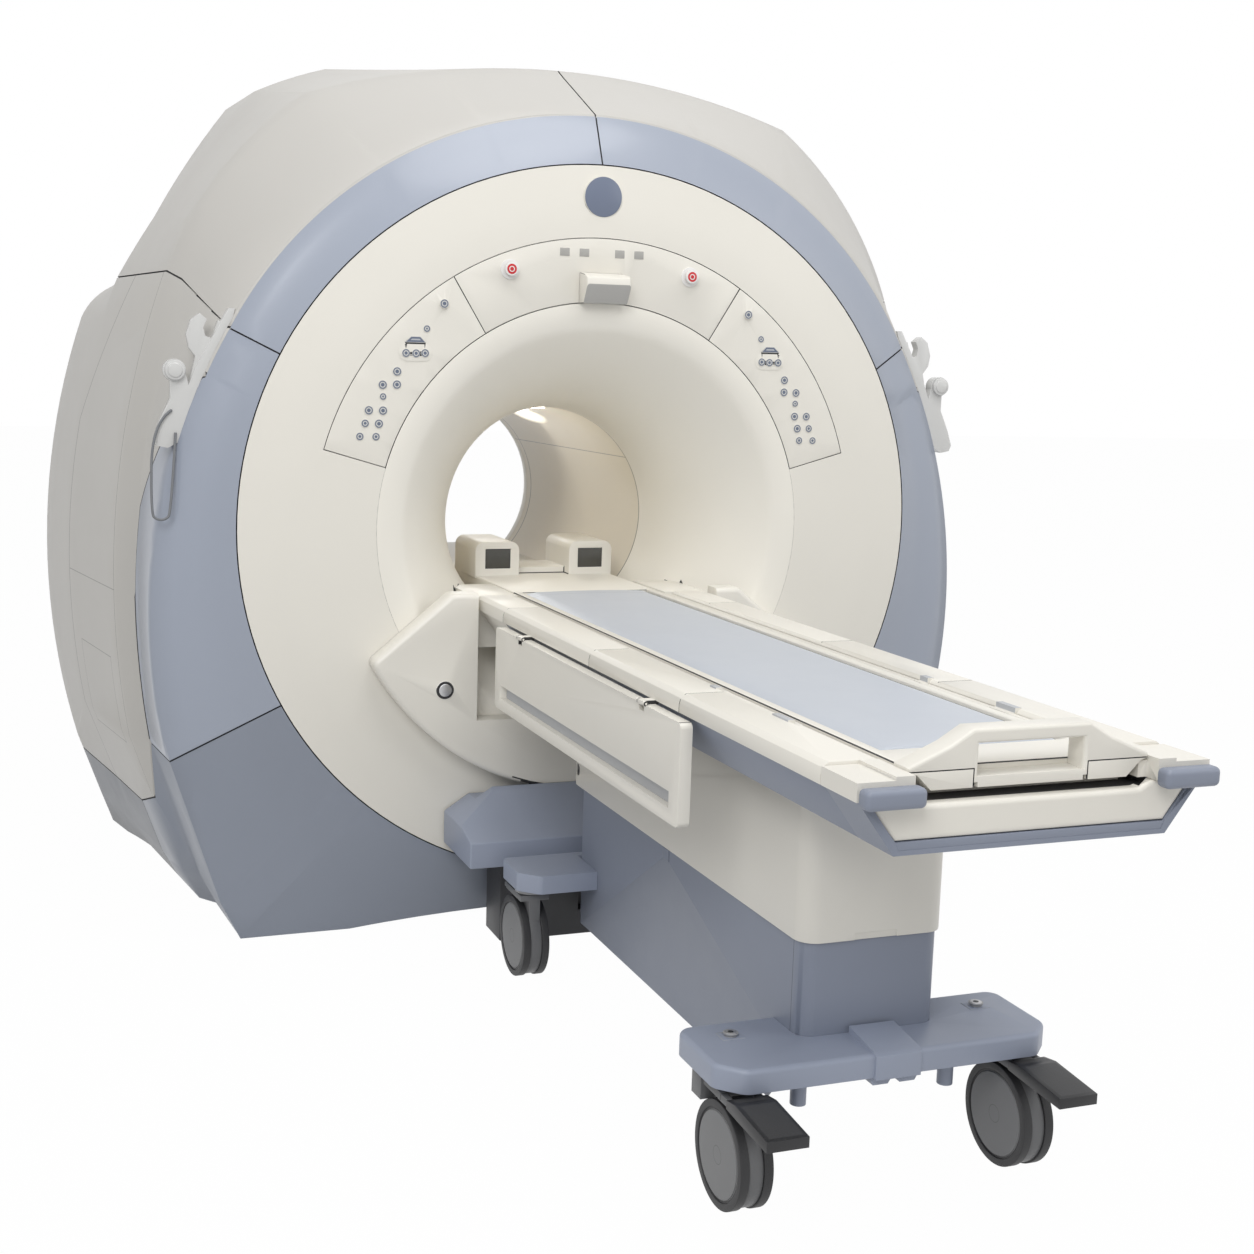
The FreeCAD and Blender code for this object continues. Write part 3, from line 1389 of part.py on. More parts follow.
def build_side_rails():
    """Folding arm boards: each hangs from two pins below the rail."""
    top, low = d.side_panel_top, d.side_panel_bottom
    start, end = table_y(d.side_panel_end), table_y(d.side_panel_start)
    x = hinge_x()
    panel = extruded("arm_board", "YZ", [[(start, low), (start, top), (end, top), (end, low)]],
                     d.rail_outer + d.panel_gap, x)
    dress(panel, "Fillet", 12, lambda e: runs_along(e, "x"))
    cuts = [block("arm_slot", (x - 16, x + 5), (start + d.slot_margin, end - d.slot_margin),
                  (d.slot_bottom, d.slot_top))]
    barrels = []
    for number, ahead in enumerate((d.side_panel_start + d.hinge_inset,
                                    d.side_panel_end - d.hinge_inset)):
        half = d.hinge_bracket_width / 2
        cuts.append(block(f"arm_notch_{number}", (d.rail_outer, x + 5),
                          (table_y(ahead + half + 0.8), table_y(ahead - half - 0.8)),
                          (top - 14, top + 12)))
        for step, (near, far) in enumerate(((half + 0.8, half + 11), (-half - 11, -half - 0.8))):
            barrels.append(rod(f"arm_barrel_{number}_{step}", 5,
                               (x, table_y(ahead + far), d.hinge_height), far - near, "y"))
        cuts.append(rod(f"arm_bore_{number}", d.hinge_pin_radius + d.slip,
                        (x, table_y(ahead + half + 14), d.hinge_height),
                        2 * half + 28, "y"))
    right = carved("arm_right", fused("arm_body", [panel] + barrels), cuts)
    piece("side_rail_right", right)
    piece("side_rail_left", mirrored("arm_left", right))


# ------------------------------------------------------------ pedestal and base

def box_tube(name, half, front, rear, wall, low, high, corner):
    """A rectangular tube with rounded upright corners."""
    outer = extruded(name + "_outer", "XY", [[
        (-half, table_y(front)), (-half, table_y(rear)), (half, table_y(rear)),
        (half, table_y(front))]], low, high)
    dress(outer, "Fillet", corner, lambda e: runs_along(e, "z"))
    inner = extruded(name + "_inner", "XY", [[
        (-half + wall, table_y(front - wall)), (-half + wall, table_y(rear + wall)),
        (half - wall, table_y(rear + wall)), (half - wall, table_y(front - wall))]],
        low - 5, high + 5)
    dress(inner, "Fillet", corner - wall, lambda e: runs_along(e, "z"))
    return outer, inner


def build_pedestal():
    half, front, rear = d.pedestal_half_width, d.pedestal_front, d.pedestal_rear
    wall = d.pedestal_wall
    outer, inner = box_tube("tower", half, front, rear, wall, d.pedestal_bottom,
                            d.pedestal_top, d.pedestal_corner)
    latch_y = table_y(d.latch_ahead)
    latch_half = d.latch_width / 2
    latch = block("tower_latch", (-half - 1.5, -half + 2),
                  (latch_y - latch_half, latch_y + latch_half), (d.latch_bottom, d.latch_top))
    slot = block("tower_slot", (-d.tongue_half_width - 3, d.tongue_half_width + 3),
                 (table_y(rear + 10), table_y(rear - 10)),
                 (d.tongue_bottom - 3, d.tongue_top + 15))
    toe = extruded("tower_toe", "YZ", [[
        (table_y(front + 20), d.pedestal_bottom - 20), (table_y(front + 20), d.plate_bottom),
        (table_y(front - 15), d.plate_bottom), (table_y(d.toe_back), d.pedestal_bottom),
        (table_y(d.toe_back), d.pedestal_bottom - 20)]], -half - 5, half + 5)
    piece("pedestal_lower", carved("tower_shell", fused("tower_body", [outer, latch]),
                                   [inner, slot, toe]))
    gap = wall + d.shroud_gap
    s_half, s_front, s_rear = half + gap, front + 5 + d.shroud_gap, d.shroud_rear
    outer, inner = box_tube("shroud", s_half, s_front, s_rear, wall + 0.5, d.shroud_bottom,
                            d.frame_bottom - d.slip, d.pedestal_corner + 6)
    port = rod("shroud_port", d.port_radius,
               (-s_half - 3, table_y(s_rear + 42), d.port_height), 12, "x")
    notch = block("shroud_notch", (-d.notch_half_width, d.notch_half_width),
                  (table_y(s_front + 5), table_y(s_front - 2)),
                  (d.shroud_bottom - 5, d.shroud_bottom + d.notch_height))
    piece("pedestal_upper", carved("shroud_shell", outer, [inner, port, notch]))
    room = half - wall - d.slip
    spine = block("lift_spine", (-room, room),
                  (table_y(d.toe_back + d.spine_toe), table_y(
                      rear + wall + d.pedestal_corner)), (d.spine_bottom, d.spine_top))
    parts = [spine]
    holes = []
    for number, ahead in enumerate((d.ram_near, d.ram_far)):
        spot = (0, table_y(ahead))
        parts.append(rod(f"lift_sleeve_{number}", d.ram_radius + 12,
                         spot + (d.spine_top - 10,), d.sleeve_top - d.spine_top + 10))
        holes.append(rod(f"lift_bore_{number}", d.ram_radius + d.slip,
                         spot + (d.spine_bottom - 50,), d.sleeve_top - d.spine_bottom + 100))
    tongue = block("dock_tongue", (-d.tongue_half_width, d.tongue_half_width),
                   (table_y(rear + 60), table_y(180)), (d.tongue_bottom, d.tongue_top))
    riser = block("tongue_riser", (-d.tongue_half_width, d.tongue_half_width),
                  (table_y(rear + 60), table_y(rear + 25)),
                  (d.tongue_bottom, d.spine_bottom + 20))
    piece("lift_base", carved("lift_cut", fused("lift_body", parts + [tongue, riser]), holes))


def chamfered_plate(name, half, front, back, low, high, corner):
    return extruded(name, "XY", [[
        (-half, table_y(back)), (half, table_y(back)), (half, table_y(front - corner)),
        (half - corner, table_y(front)), (-half + corner, table_y(front)),
        (-half, table_y(front - corner))]], low, high)


def build_base():
    low, high = d.plate_bottom, d.plate_top
    half = d.plate_half_width
    plate = chamfered_plate("foot_plate", half, d.plate_front, d.plate_back, low, high,
                            d.plate_chamfer)
    dress(plate, "Fillet", 30, lambda e: runs_along(e, "z"))
    tops = plate.Tip.Shape.BoundBox.ZMax
    dress(plate, "Fillet", 10, lambda e: abs(e.CenterOfMass.z - tops) < 0.01)
    seat = extruded("tower_seat", "XY", [[
        (-d.pedestal_half_width - d.slip, table_y(d.pedestal_front + d.slip)),
        (-d.pedestal_half_width - d.slip, table_y(250)),
        (d.pedestal_half_width + d.slip, table_y(250)),
        (d.pedestal_half_width + d.slip, table_y(d.pedestal_front + d.slip))]],
        low - 10, high + 10)
    dress(seat, "Fillet", d.pedestal_corner, lambda e: runs_along(e, "z"))
    parts = [plate]
    for side in (-1, 1):
        word = "left" if side < 0 else "right"
        x = (d.plate_half_width - d.bolt_inset) * side
        parts.append(block(f"bolt_seat_{word}", (x - 22, x + 22),
                           (table_y(d.bolt_ahead + 18), table_y(d.bolt_ahead - 18)),
                           (high - 2, high + 1)))
        parts.append(rod(f"bolt_head_{word}", 11, (x, table_y(d.bolt_ahead), high - 2), 9))
        peg = (d.peg_x * side, table_y(d.plate_front - 80))
        parts.append(rod(f"peg_{word}", d.peg_radius, peg + (d.peg_bottom,),
                         low - d.peg_bottom + 5))
        a, b = d.lobe_inner * side, d.lobe_outer * side
        lobe = [(a, low + 3), (a, low - 6), (a + 7 * side, d.lobe_bottom),
                (b - 7 * side, d.lobe_bottom), (b, low - 6), (b, low + 3)]
        parts.append(extruded(f"pedal_lobe_{word}", "XZ", [lobe],
                              table_y(d.plate_front - 8), table_y(d.plate_front - 56)))
    nose = extruded("pedal_block", "YZ", [[
        (table_y(d.plate_front + 6), low - 3), (table_y(d.plate_front + 6), high - 3),
        (table_y(d.plate_front - 4), high + 4), (table_y(d.pedestal_front + 8), high + 16),
        (table_y(d.pedestal_front + 8), low - 3)]], -d.block_half_width, d.block_half_width)
    foot = carved("foot_plate_cut", fused("foot_plate_body", parts + [nose]), [seat])
    near, far = d.rear_plate_near, d.rear_plate_far
    wing = chamfered_plate("rear_wing", half - 10, far, near, low, high, d.plate_chamfer)
    dress(wing, "Fillet", 20, lambda e: runs_along(e, "z"))
    rear_seat = block("rear_seat", (-d.pedestal_half_width - d.slip,
                                    d.pedestal_half_width + d.slip),
                      (table_y(far + 30), table_y(d.pedestal_rear - d.slip)),
                      (low - 10, high + 10))
    piece("base_plates", group("plate_pair", [
        foot, carved("rear_plate_cut", wing, [rear_seat])]))


# ------------------------------------------------------------ casters

CASTERS = (("front_left", -1, -1), ("front_right", 1, -1),
           ("rear_left", -1, 1), ("rear_right", 1, 1))


def build_caster(word, side, trail_side):
    """A twin-wheel caster: a core between two discs on one axle."""
    front = trail_side < 0
    x = d.caster_x * side
    swivel_y = table_y(d.front_caster if front else d.rear_caster)
    wheel_y = swivel_y + d.caster_trail * trail_side
    hub = d.wheel_radius
    core = d.caster_core / 2
    top = d.plate_bottom - d.slip
    hood_top = top - d.swivel_height
    disc = rod(f"core_disc_{word}", d.core_radius, (x - core, wheel_y, hub), d.caster_core, "x")
    reach = ordered(swivel_y - 30 * trail_side, wheel_y + (10 if front else 40) * trail_side)
    arm = block(f"core_arm_{word}", (x - core, x + core), (reach[0], reach[1]),
                (hub + 40, hood_top - 4))
    hood = block(f"hood_{word}", (x - 36, x + 36), (reach[0], reach[1]),
                 (hood_top - 14, hood_top))
    stem = rod(f"swivel_{word}", d.swivel_radius, (x, swivel_y, hood_top - 4),
               d.swivel_height + 4)
    bore = rod(f"core_bore_{word}", d.axle_radius + d.slip, (x - core - 5, wheel_y, hub),
               d.caster_core + 10, "x")
    collar = rod(f"collar_{word}", d.swivel_radius + 12, (x, swivel_y, top - 9), 9)
    parts = [disc, arm, hood, stem, collar]
    if front:
        back = swivel_y + d.swivel_radius
        parts.append(block(f"hood_back_{word}", (x - 40, x + 40), (back - 10, back + d.hood_depth),
                           (top - d.hood_drop, top - 2)))
        pivot_y = wheel_y - 30
        for step, ear in enumerate((-35, 24)):
            parts.append(block(f"brake_ear_{word}_{step}", (x + ear, x + ear + 11),
                               (pivot_y - 9, pivot_y + 30), (hood_top - 16, hood_top - 2)))
        parts.append(rod(f"brake_pin_{word}", 3, (x - 30, pivot_y - 2, hood_top - 9), 60, "x"))
    else:
        parts.append(block(f"tab_{word}", (x - 30, x + 30),
                           (wheel_y + 36, wheel_y + 72), (hood_top - 18, hood_top - 8)))
    piece(f"caster_fork_{word}", carved(f"fork_{word}", fused(f"fork_body_{word}", parts),
                                        [bore]))
    discs = []
    pockets = []
    for step, s in enumerate((-1, 1)):
        inner = core + d.joint_gap
        span = ordered(x + inner * s, x + (inner + d.wheel_width) * s)
        discs.append(rod(f"tread_{word}_{step}", hub, (span[0], wheel_y, hub),
                         d.wheel_width, "x"))
        face = span[1] if s > 0 else span[0]
        low = face - 3 if s > 0 else face - 5
        pockets.append(ring_on_x(f"hub_groove_{word}_{step}", low, wheel_y, hub))
    axle = rod(f"axle_{word}", d.axle_radius, (x - core - 4, wheel_y, hub),
               d.caster_core + 8, "x")
    piece(f"caster_wheel_{word}", carved(f"wheel_{word}", fused(f"wheel_body_{word}",
                                                                discs + [axle]), pockets))
    if front:
        build_brake(word, x, pivot_y, hood_top - 9)


def ring_on_x(name, low, y, z):
    outer = rod(name + "_out", d.hub_radius + 5, (low, y, z), 8, "x")
    inner = rod(name + "_in", d.hub_radius, (low - 1, y, z), 10, "x")
    return carved(name, outer, [inner])


def build_brake(word, x, pivot_y, pivot_z):
    tip = d.brake_length - d.caster_trail - 30
    wide = d.brake_width / 2
    lever = extruded(f"brake_lever_{word}", "YZ", [[
        (pivot_y - tip, pivot_z - 14), (pivot_y - tip, pivot_z + 6),
        (pivot_y - 50, pivot_z + 16), (pivot_y - 14, pivot_z + 10),
        (pivot_y - 14, pivot_z - 6), (pivot_y - 60, pivot_z - 9)]], x - wide, x + wide)
    tongue = block(f"brake_root_{word}", (x - 20, x + 20), (pivot_y - 20, pivot_y + 6),
                   (pivot_z - 6, pivot_z + 6))
    hole = rod(f"brake_hole_{word}", 3 + d.slip, (x - 40, pivot_y - 2, pivot_z), 80, "x")
    piece(f"brake_pedal_{word}", carved(f"brake_{word}", fused(f"brake_body_{word}",
                                                               [lever, tongue]), [hole]))


# ------------------------------------------------------------ assembly and files

bulb_left = build_hangers()
piece("call_bulbs", group("bulb_pair", [bulb_left, mirrored("bulb_right", bulb_left)]))
piece("hose_loop", feature("hose_loop", tube_along(hose_route(), d.hose_diameter.value)))
build_table_frame()
build_rails()
build_foot_end()
build_cradle()
build_side_rails()
build_pedestal()
build_base()
for caster in CASTERS:
    build_caster(*caster)
document.recompute()

for item in document.Objects:
    if "Invalid" in item.State or "Error" in item.State:
        raise RuntimeError(f"{item.Name} did not build: {item.State}")
os.makedirs("parts", exist_ok=True)
for label, solid in PIECES.items():
    shape = solid.Shape
    if not shape.isValid() or not shape.Solids:
        raise RuntimeError(f"{label} is not a sound solid")
    solid.Label = label
    shape.exportStep(f"parts/{label}.step")
print(len(PIECES), "pieces written")
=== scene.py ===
import json
import math

import bpy
from mathutils import Matrix, Vector
from mathutils.bvhtree import BVHTree


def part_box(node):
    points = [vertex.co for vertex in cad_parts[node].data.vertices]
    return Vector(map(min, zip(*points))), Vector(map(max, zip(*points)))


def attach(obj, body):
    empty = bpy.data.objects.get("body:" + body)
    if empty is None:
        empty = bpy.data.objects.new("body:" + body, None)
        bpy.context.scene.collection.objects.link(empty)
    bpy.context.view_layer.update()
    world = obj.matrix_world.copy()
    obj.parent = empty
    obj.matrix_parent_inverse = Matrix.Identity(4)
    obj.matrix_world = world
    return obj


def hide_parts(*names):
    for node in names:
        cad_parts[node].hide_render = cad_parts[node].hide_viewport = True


bl_info = {
    "name": "Body Scanner Dressing",
    "version": (1, 0, 0),
    "blender": (4, 5, 0),
    "location": "View3D > Sidebar > Scanner",
    "description": "Dresses the packed scanner and its patient table with finished pieces",
    "category": "Object",
}

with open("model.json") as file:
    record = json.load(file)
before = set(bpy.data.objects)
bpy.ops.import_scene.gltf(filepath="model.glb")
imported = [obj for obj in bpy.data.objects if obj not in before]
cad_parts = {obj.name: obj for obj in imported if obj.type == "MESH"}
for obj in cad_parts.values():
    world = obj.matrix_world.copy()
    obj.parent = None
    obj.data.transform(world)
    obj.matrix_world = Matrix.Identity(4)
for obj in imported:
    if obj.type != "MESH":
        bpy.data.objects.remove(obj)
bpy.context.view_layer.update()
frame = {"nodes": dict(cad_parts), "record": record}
NODES = frame["nodes"]
BODY_OF = {node: body for body, nodes in frame["record"]["behaviour"]["bodies"].items()
           for node in nodes}

FACE_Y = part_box("front_face")[0].y
TUBE_LOW, TUBE_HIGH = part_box("bore_tube")
AXIS_Z = (TUBE_LOW.z + TUBE_HIGH.z) / 2
CASTER_CORNERS = ("front_left", "front_right", "rear_left", "rear_right")
COVERS = [f"{part}_{side}" for part in ("ring_top", "ring_side", "top_cover", "side_panel")
          for side in ("left", "right")] + ["base_cover", "base_sides", "rear_cover"]
SKINS = {}


# --- shader maths

class Signal:
    """One number or colour in a material, which answers to + - * / and >."""

    def __init__(self, finish, socket):
        self.finish = finish
        self.socket = socket

    def _maths(self, operation, *values):
        return self.finish.add("ShaderNodeMath", {"operation": operation},
                               dict(enumerate(values)))

    def __add__(self, other):
        return self._maths("ADD", self, other)

    __radd__ = __add__

    def __sub__(self, other):
        return self._maths("SUBTRACT", self, other)

    def __rsub__(self, other):
        return self._maths("SUBTRACT", other, self)

    def __mul__(self, other):
        return self._maths("MULTIPLY", self, other)

    __rmul__ = __mul__

    def __truediv__(self, other):
        return self._maths("DIVIDE", self, other)

    def __gt__(self, other):
        return self._maths("GREATER_THAN", self, other)

    def __lt__(self, other):
        return self._maths("LESS_THAN", self, other)

    def length(self, *others):
        """The length of the vector that the signals make."""
        total = self * self
        for other in others:
            total = total + other * other
        return self._maths("SQRT", total)

    def size(self):
        return self._maths("ABSOLUTE", self)

    def band(self, low, high):
        """1 between two values and 0 outside them."""
        return (self > low) * (self < high)

    def fading(self, reach):
        """1 at zero, down to 0 at the reach."""
        return self._maths("MAXIMUM", 1 - self / reach, 0.0)


class Shading:
    """A node tree under construction; every node of this file is added by add."""

    def __init__(self, tree):
        self.tree = tree

    def add(self, kind, settings=None, inputs=None, output=0):
        node = self.tree.nodes.new(kind)
        for name, value in (settings or {}).items():
            setattr(node, name, value)
        for key, value in (inputs or {}).items():
            self.join(value, node.inputs[key])
        return Signal(self, node.outputs[output]) if node.outputs else None

    def join(self, value, socket):
        if isinstance(value, Signal):
            self.tree.links.new(value.socket, socket)
        elif hasattr(value, "__len__") and len(value) == 3 and socket.type == "RGBA":
            socket.default_value = (*value, 1)
        else:
            socket.default_value = value

    def looked_at(self):
        """1 where the camera, a mirror or a glass looks, and 0 for the light on the object."""
        camera = self.add("ShaderNodeLightPath", output="Is Camera Ray")
        rays = camera.socket.node.outputs
        glossy = Signal(self, rays["Is Glossy Ray"])
        through = Signal(self, rays["Is Transmission Ray"])
        return self.add("ShaderNodeMath", {"operation": "ADD", "use_clamp": True},
                        {0: camera, 1: glossy + through})


class Finish(Shading):
    """A material under construction."""

    def __init__(self, name):
        self.material = bpy.data.materials.new(name)
        self.material.use_nodes = True
        super().__init__(self.material.node_tree)
        self.shader = self.tree.nodes["Principled BSDF"]
        self.place = self.add("ShaderNodeTexCoord", output="Object")

    def axes(self):
        """Object X, Y and Z as three signals."""
        first = self.add("ShaderNodeSeparateXYZ", None, {0: self.place})
        return [Signal(self, output) for output in first.socket.node.outputs]

    def noise(self, scale, detail=3.0, roughness=0.5):
        return self.add("ShaderNodeTexNoise", None, {
            "Vector": self.place, "Scale": scale, "Detail": detail, "Roughness": roughness})

    def mix(self, mask, first, second):
        """A colour that goes from first to second as the mask goes from 0 to 1."""
        return self.add("ShaderNodeMix", {"data_type": "RGBA"},
                        {0: mask, 6: first, 7: second}, output=2)

    def paint(self, **sockets):
        """Sets the shader's sockets, an underscore for each space."""
        for name, value in sockets.items():
            self.join(value, self.shader.inputs[name.replace("_", " ")])
        return self

    def grain(self, height, distance, strength=1.0):
        bump = self.add("ShaderNodeBump", None, {
            "Height": height, "Distance": distance, "Strength": strength})
        self.join(bump, self.shader.inputs["Normal"])
        return self


def shade(colour, amount):
    """A colour made lighter or darker by an amount."""
    return tuple(min(1.0, channel * amount) for channel in colour)


PEEL = (0.00008, 900.0)


def moulded(name, colour, roughness, grain=PEEL[0], grain_scale=PEEL[1], coat=0.0):
    """Painted or moulded plastic: a faint orange peel, slow tone drift and handling marks."""
    finish = Finish(name)
    drift = finish.noise(2.3, 2.0)
    peel = finish.noise(grain_scale, 2.0)
    marks = finish.noise(14.0, 6.0, 0.62)
    finish.paint(
        Base_Color=finish.mix(drift, shade(colour, 0.965), shade(colour, 1.02)),
        Roughness=roughness + (marks - 0.5) * 0.10, Coat_Weight=coat, Coat_Roughness=0.18)
    finish.grain(peel, grain, 0.55)
    return finish


def banded(finish, mask, colour):
    """Paints a second colour where the mask is 1."""
    socket = finish.shader.inputs["Base Color"]
    under = Signal(finish, socket.links[0].from_socket)
    finish.join(finish.mix(mask, under, colour), socket)
    return finish


# --- modelling helpers

FLAT = 0.8  # degrees between facets that are one flat face


def enter(mode):
    bpy.ops.object.mode_set(mode=mode)


def clear_selection():
    if bpy.context.object and bpy.context.object.mode != "OBJECT":
        enter("OBJECT")
    bpy.ops.object.select_all(action="DESELECT")


def select_only(piece):
    clear_selection()
    piece.select_set(True)
    bpy.context.view_layer.objects.active = piece


def settle(piece, place=True):
    """Puts a piece's size into its mesh, and its place and turn unless place is off."""
    select_only(piece)
    bpy.ops.object.transform_apply(location=place, rotation=place, scale=True)


def modifier(piece, kind, **settings):
    """Adds a modifier and applies it."""
    select_only(piece)
    added = piece.modifiers.new(kind.lower(), kind)
    for name, value in settings.items():
        setattr(added, name, value)
    bpy.ops.object.modifier_apply(modifier=added.name)


def throughout(tool, **settings):
    """Uses one edit-mode tool on the whole of the active mesh."""
    enter("EDIT")
    bpy.ops.mesh.select_all(action="SELECT")
    tool(**settings)
    enter("OBJECT")


def flattened(degrees):
    """Joins the active mesh's faces that lie within an angle of each other."""
    throughout(bpy.ops.mesh.dissolve_limited, angle_limit=math.radians(degrees),
               delimit={"NORMAL"})


def smooth(piece, degrees=35):
    select_only(piece)
    bpy.ops.object.shade_smooth_by_angle(angle=math.radians(degrees))


def finish_piece(piece, name, look, body, degrees=35):
    piece.name = name
    piece.data.name = name
    piece.data.materials.clear()
    piece.data.materials.append(finish(look))
    settle(piece)
    smooth(piece, degrees)
    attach(piece, body)
    return piece


def copied(node):
    """A free copy of a node with its corners merged."""
    select_only(NODES[node])
    bpy.ops.object.duplicate()
    piece = bpy.context.object
    piece.parent = None
    for key in list(piece.keys()):
        del piece[key]
    throughout(bpy.ops.mesh.remove_doubles, threshold=0.00002)
    return piece


def skin(node, look, edge=0.003, degrees=32, flat=FLAT, segments=2):
    """A node's form as one clean mesh, in place of the node.

    Edges sharper than degrees are eased over the width edge, and facets within flat degrees
    of each other become one face.
    """
    piece = copied(node)
    if flat:
        flattened(flat)
    if edge:
        modifier(piece, "BEVEL", width=edge, segments=segments, limit_method="ANGLE",
                 angle_limit=math.radians(degrees), use_clamp_overlap=True,
                 harden_normals=False)
    finish_piece(piece, f"{node}_skin", look, BODY_OF[node], degrees)
    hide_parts(node)
    SKINS[node] = piece
    return piece


def levelled(piece):
    """Lets the large faces of a piece rule its shading, so that flats look flat."""
    modifier(piece, "WEIGHTED_NORMAL", keep_sharp=True, weight=100)
    return piece


def repaint(piece, look, chosen):
    """Another finish on the faces that a test picks."""
    material = finish(look)
    if material.name not in piece.data.materials:
        piece.data.materials.append(material)
    index = piece.data.materials.find(material.name)
    for face in piece.data.polygons:
        if chosen(face):
            face.material_index = index


def pick(piece, chosen):
    """Opens edit mode with only the faces selected that a test picks."""
    select_only(piece)
    bpy.context.tool_settings.mesh_select_mode = (False, False, True)
    enter("EDIT")
    bpy.ops.mesh.select_all(action="DESELECT")
    enter("OBJECT")
    for face in piece.data.polygons:
        face.select = chosen(face)
    enter("EDIT")


def inlay(piece, look, rim, chosen, depth=0.0):
    """Insets each chosen face by a rim and gives its middle another finish."""
    pick(piece, chosen)
    bpy.ops.mesh.inset(thickness=rim, depth=depth, use_individual=True)
    enter("OBJECT")
    picked = {face.index for face in piece.data.polygons if face.select}
    repaint(piece, look, lambda face: face.index in picked)
    return picked


def middle_of(node):
    low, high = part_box(node)
    return (low + high) / 2


def near(face, place, reach):
    """Whether a face's middle lies within reach of a place, seen from the front."""
    return math.hypot(face.center.x - place.x, face.center.z - place.z) < reach


def carry(node, look):
    """A node that stays as it is, with a finished material."""
    mesh = NODES[node].data
    mesh.materials.clear()
    mesh.materials.append(finish(look))


def plate(name, centre, size, look, body, edge=0.001, turn=(0, 0, 0)):
    """A rounded plate: a cube at its size, bevelled."""
    clear_selection()
    bpy.ops.mesh.primitive_cube_add(size=1, location=centre, rotation=turn)
    piece = bpy.context.object
    piece.scale = size
    settle(piece, place=False)
    modifier(piece, "BEVEL", width=edge, segments=3, limit_method="ANGLE")
    return finish_piece(piece, name, look, body)


def disc(name, centre, radius, depth, look, body, edge=0.0008, sides=48,
         turn=(math.pi / 2, 0, 0)):
    """A round plate facing the table."""
    clear_selection()
    bpy.ops.mesh.primitive_cylinder_add(vertices=sides, radius=radius, depth=depth,
                                        location=centre, rotation=turn)
    piece = bpy.context.object
    if edge:
        modifier(piece, "BEVEL", width=edge, segments=2, limit_method="ANGLE")
    return finish_piece(piece, name, look, body)


def joined(pieces, name):
    clear_selection()
    for piece in pieces:
        piece.select_set(True)
    bpy.context.view_layer.objects.active = pieces[0]
    bpy.ops.object.join()
    piece = bpy.context.object
    piece.name = name
    return piece


def polar(radius, degrees):
    """World X and Z at a radius and an angle clockwise from the crown."""
    angle = math.radians(degrees)
    return radius * math.sin(angle), AXIS_Z + radius * math.cos(angle)


def ahead(length):
    """World Y at a distance in front of the scanner's face."""
    return FACE_Y - length


def tree_of(pieces):
    """All faces of some pieces, ready for rays."""
    corners, faces = [], []
    for piece in pieces:
        start = len(corners)
        corners += [vertex.co.copy() for vertex in piece.data.vertices]
        piece.data.calc_loop_triangles()
        faces += [tuple(start + index for index in triangle.vertices)
                  for triangle in piece.data.loop_triangles]
    return BVHTree.FromPolygons(corners, faces, all_triangles=True)


def narrowness(face):
    """About the shorter side of a face."""
    mesh = face.id_data
    corners = [mesh.vertices[index].co for index in face.vertices]
    outline = sum((a - b).length for a, b in zip(corners, corners[1:] + corners[:1]))
    return 2 * face.area / outline


# --- sizes and colours

# Metres and square metres. AHEAD is forward of the scanner's face, Z is over the floor.

SHARP = 40  # degrees from which an edge of a moulded cover stays sharp

# Side panels, back from the face: door joints, and the hatch's depths and heights.
DOOR_FRONT = 0.400
DOOR_BACK = 0.885
DOOR_BEND = 1.30
DOOR_LEAN = 0.5
DOOR_SPLIT = 0.870
HATCH = ((0.48, 0.80), (0.44, 0.68))
THIN_JOINT = 0.0025
DOOR_JOINT = 0.003
BACK_JOINT = 0.005

# Flowing form of the covers, and which faces follow it.
FORM_RINGS = 120
FORM_SPOKES = 240
FORM_INSET = 0.004
FORM_PASSES = 6
FORM_OWN = 0.4  # a point's own share, and each neighbour's
FORM_SIDE = 0.15
FORM_START = 2.2
FORM_LOW = 0.42
FORM_LIKE = 0.93  # cosine of the angle between a face and the form
RIM_RADIUS = 0.94
SMALL_FACE = 0.000012

# Painted shade in seams: how narrow a face, and how near what it looks at.
SEAM_FACE = 0.009
SEAM_REACH = 0.008
SEAM_DIRECT = 0.0070
SEAM_START = 0.00015
EASED_FACE = 0.0024

# Bore: the liner's joints, the lamp's light and its glare.
LINER_RING_Y = 1.592
LINER_SEAM_Z = 1.2215
LINER_END = (0.001, 0.007)
LINER_JOINT = 0.006
GLOW_REACH = 0.72
GLOW_SHIFT = 0.12
GLOW_SHARE = 0.16
GLARE = Vector((0.155, 1.20, 1.322))
GLARE_SIZE = Vector((0.05, 0.17, 0.05))

# Pad.
PAD_FOLD = 0.075
FOLD_WIDTH = 0.002
PAD_VOXEL = 0.007
PAD_SWELL = 0.0025
PAD_STEPS = 20

# Console: what stands proud, the stop buttons and the keys.
PROUD = 0.0004
BADGE_DEPTH = 0.003
WINDOW_REACH = 0.125
WINDOW_LOW = 1.755
VISOR_UNDER = -0.25
STOP_COLLAR = 0.027
STOP_RING = (0.0074, 0.0127)
STOP_DOT = 0.0050
KEY_PROUD = 0.0005
KEY_REACH = 0.0135
KEY_CORNERS = 12
KEY_ROUNDNESS = 2.6  # area over squared reach, pi for a disc
KEY_EDGE = 0.0010
KEY_RING = 0.0027
KEY_GAP = 0.0026
SCREEN_SIDE = 0.0065
SCREEN_EDGE = 0.0012
SCREEN_FRAME = 0.0045
PRINT_LIFT = 0.0002
LOCK_COLLAR = 0.025
LOCK_PROUD = 0.0012

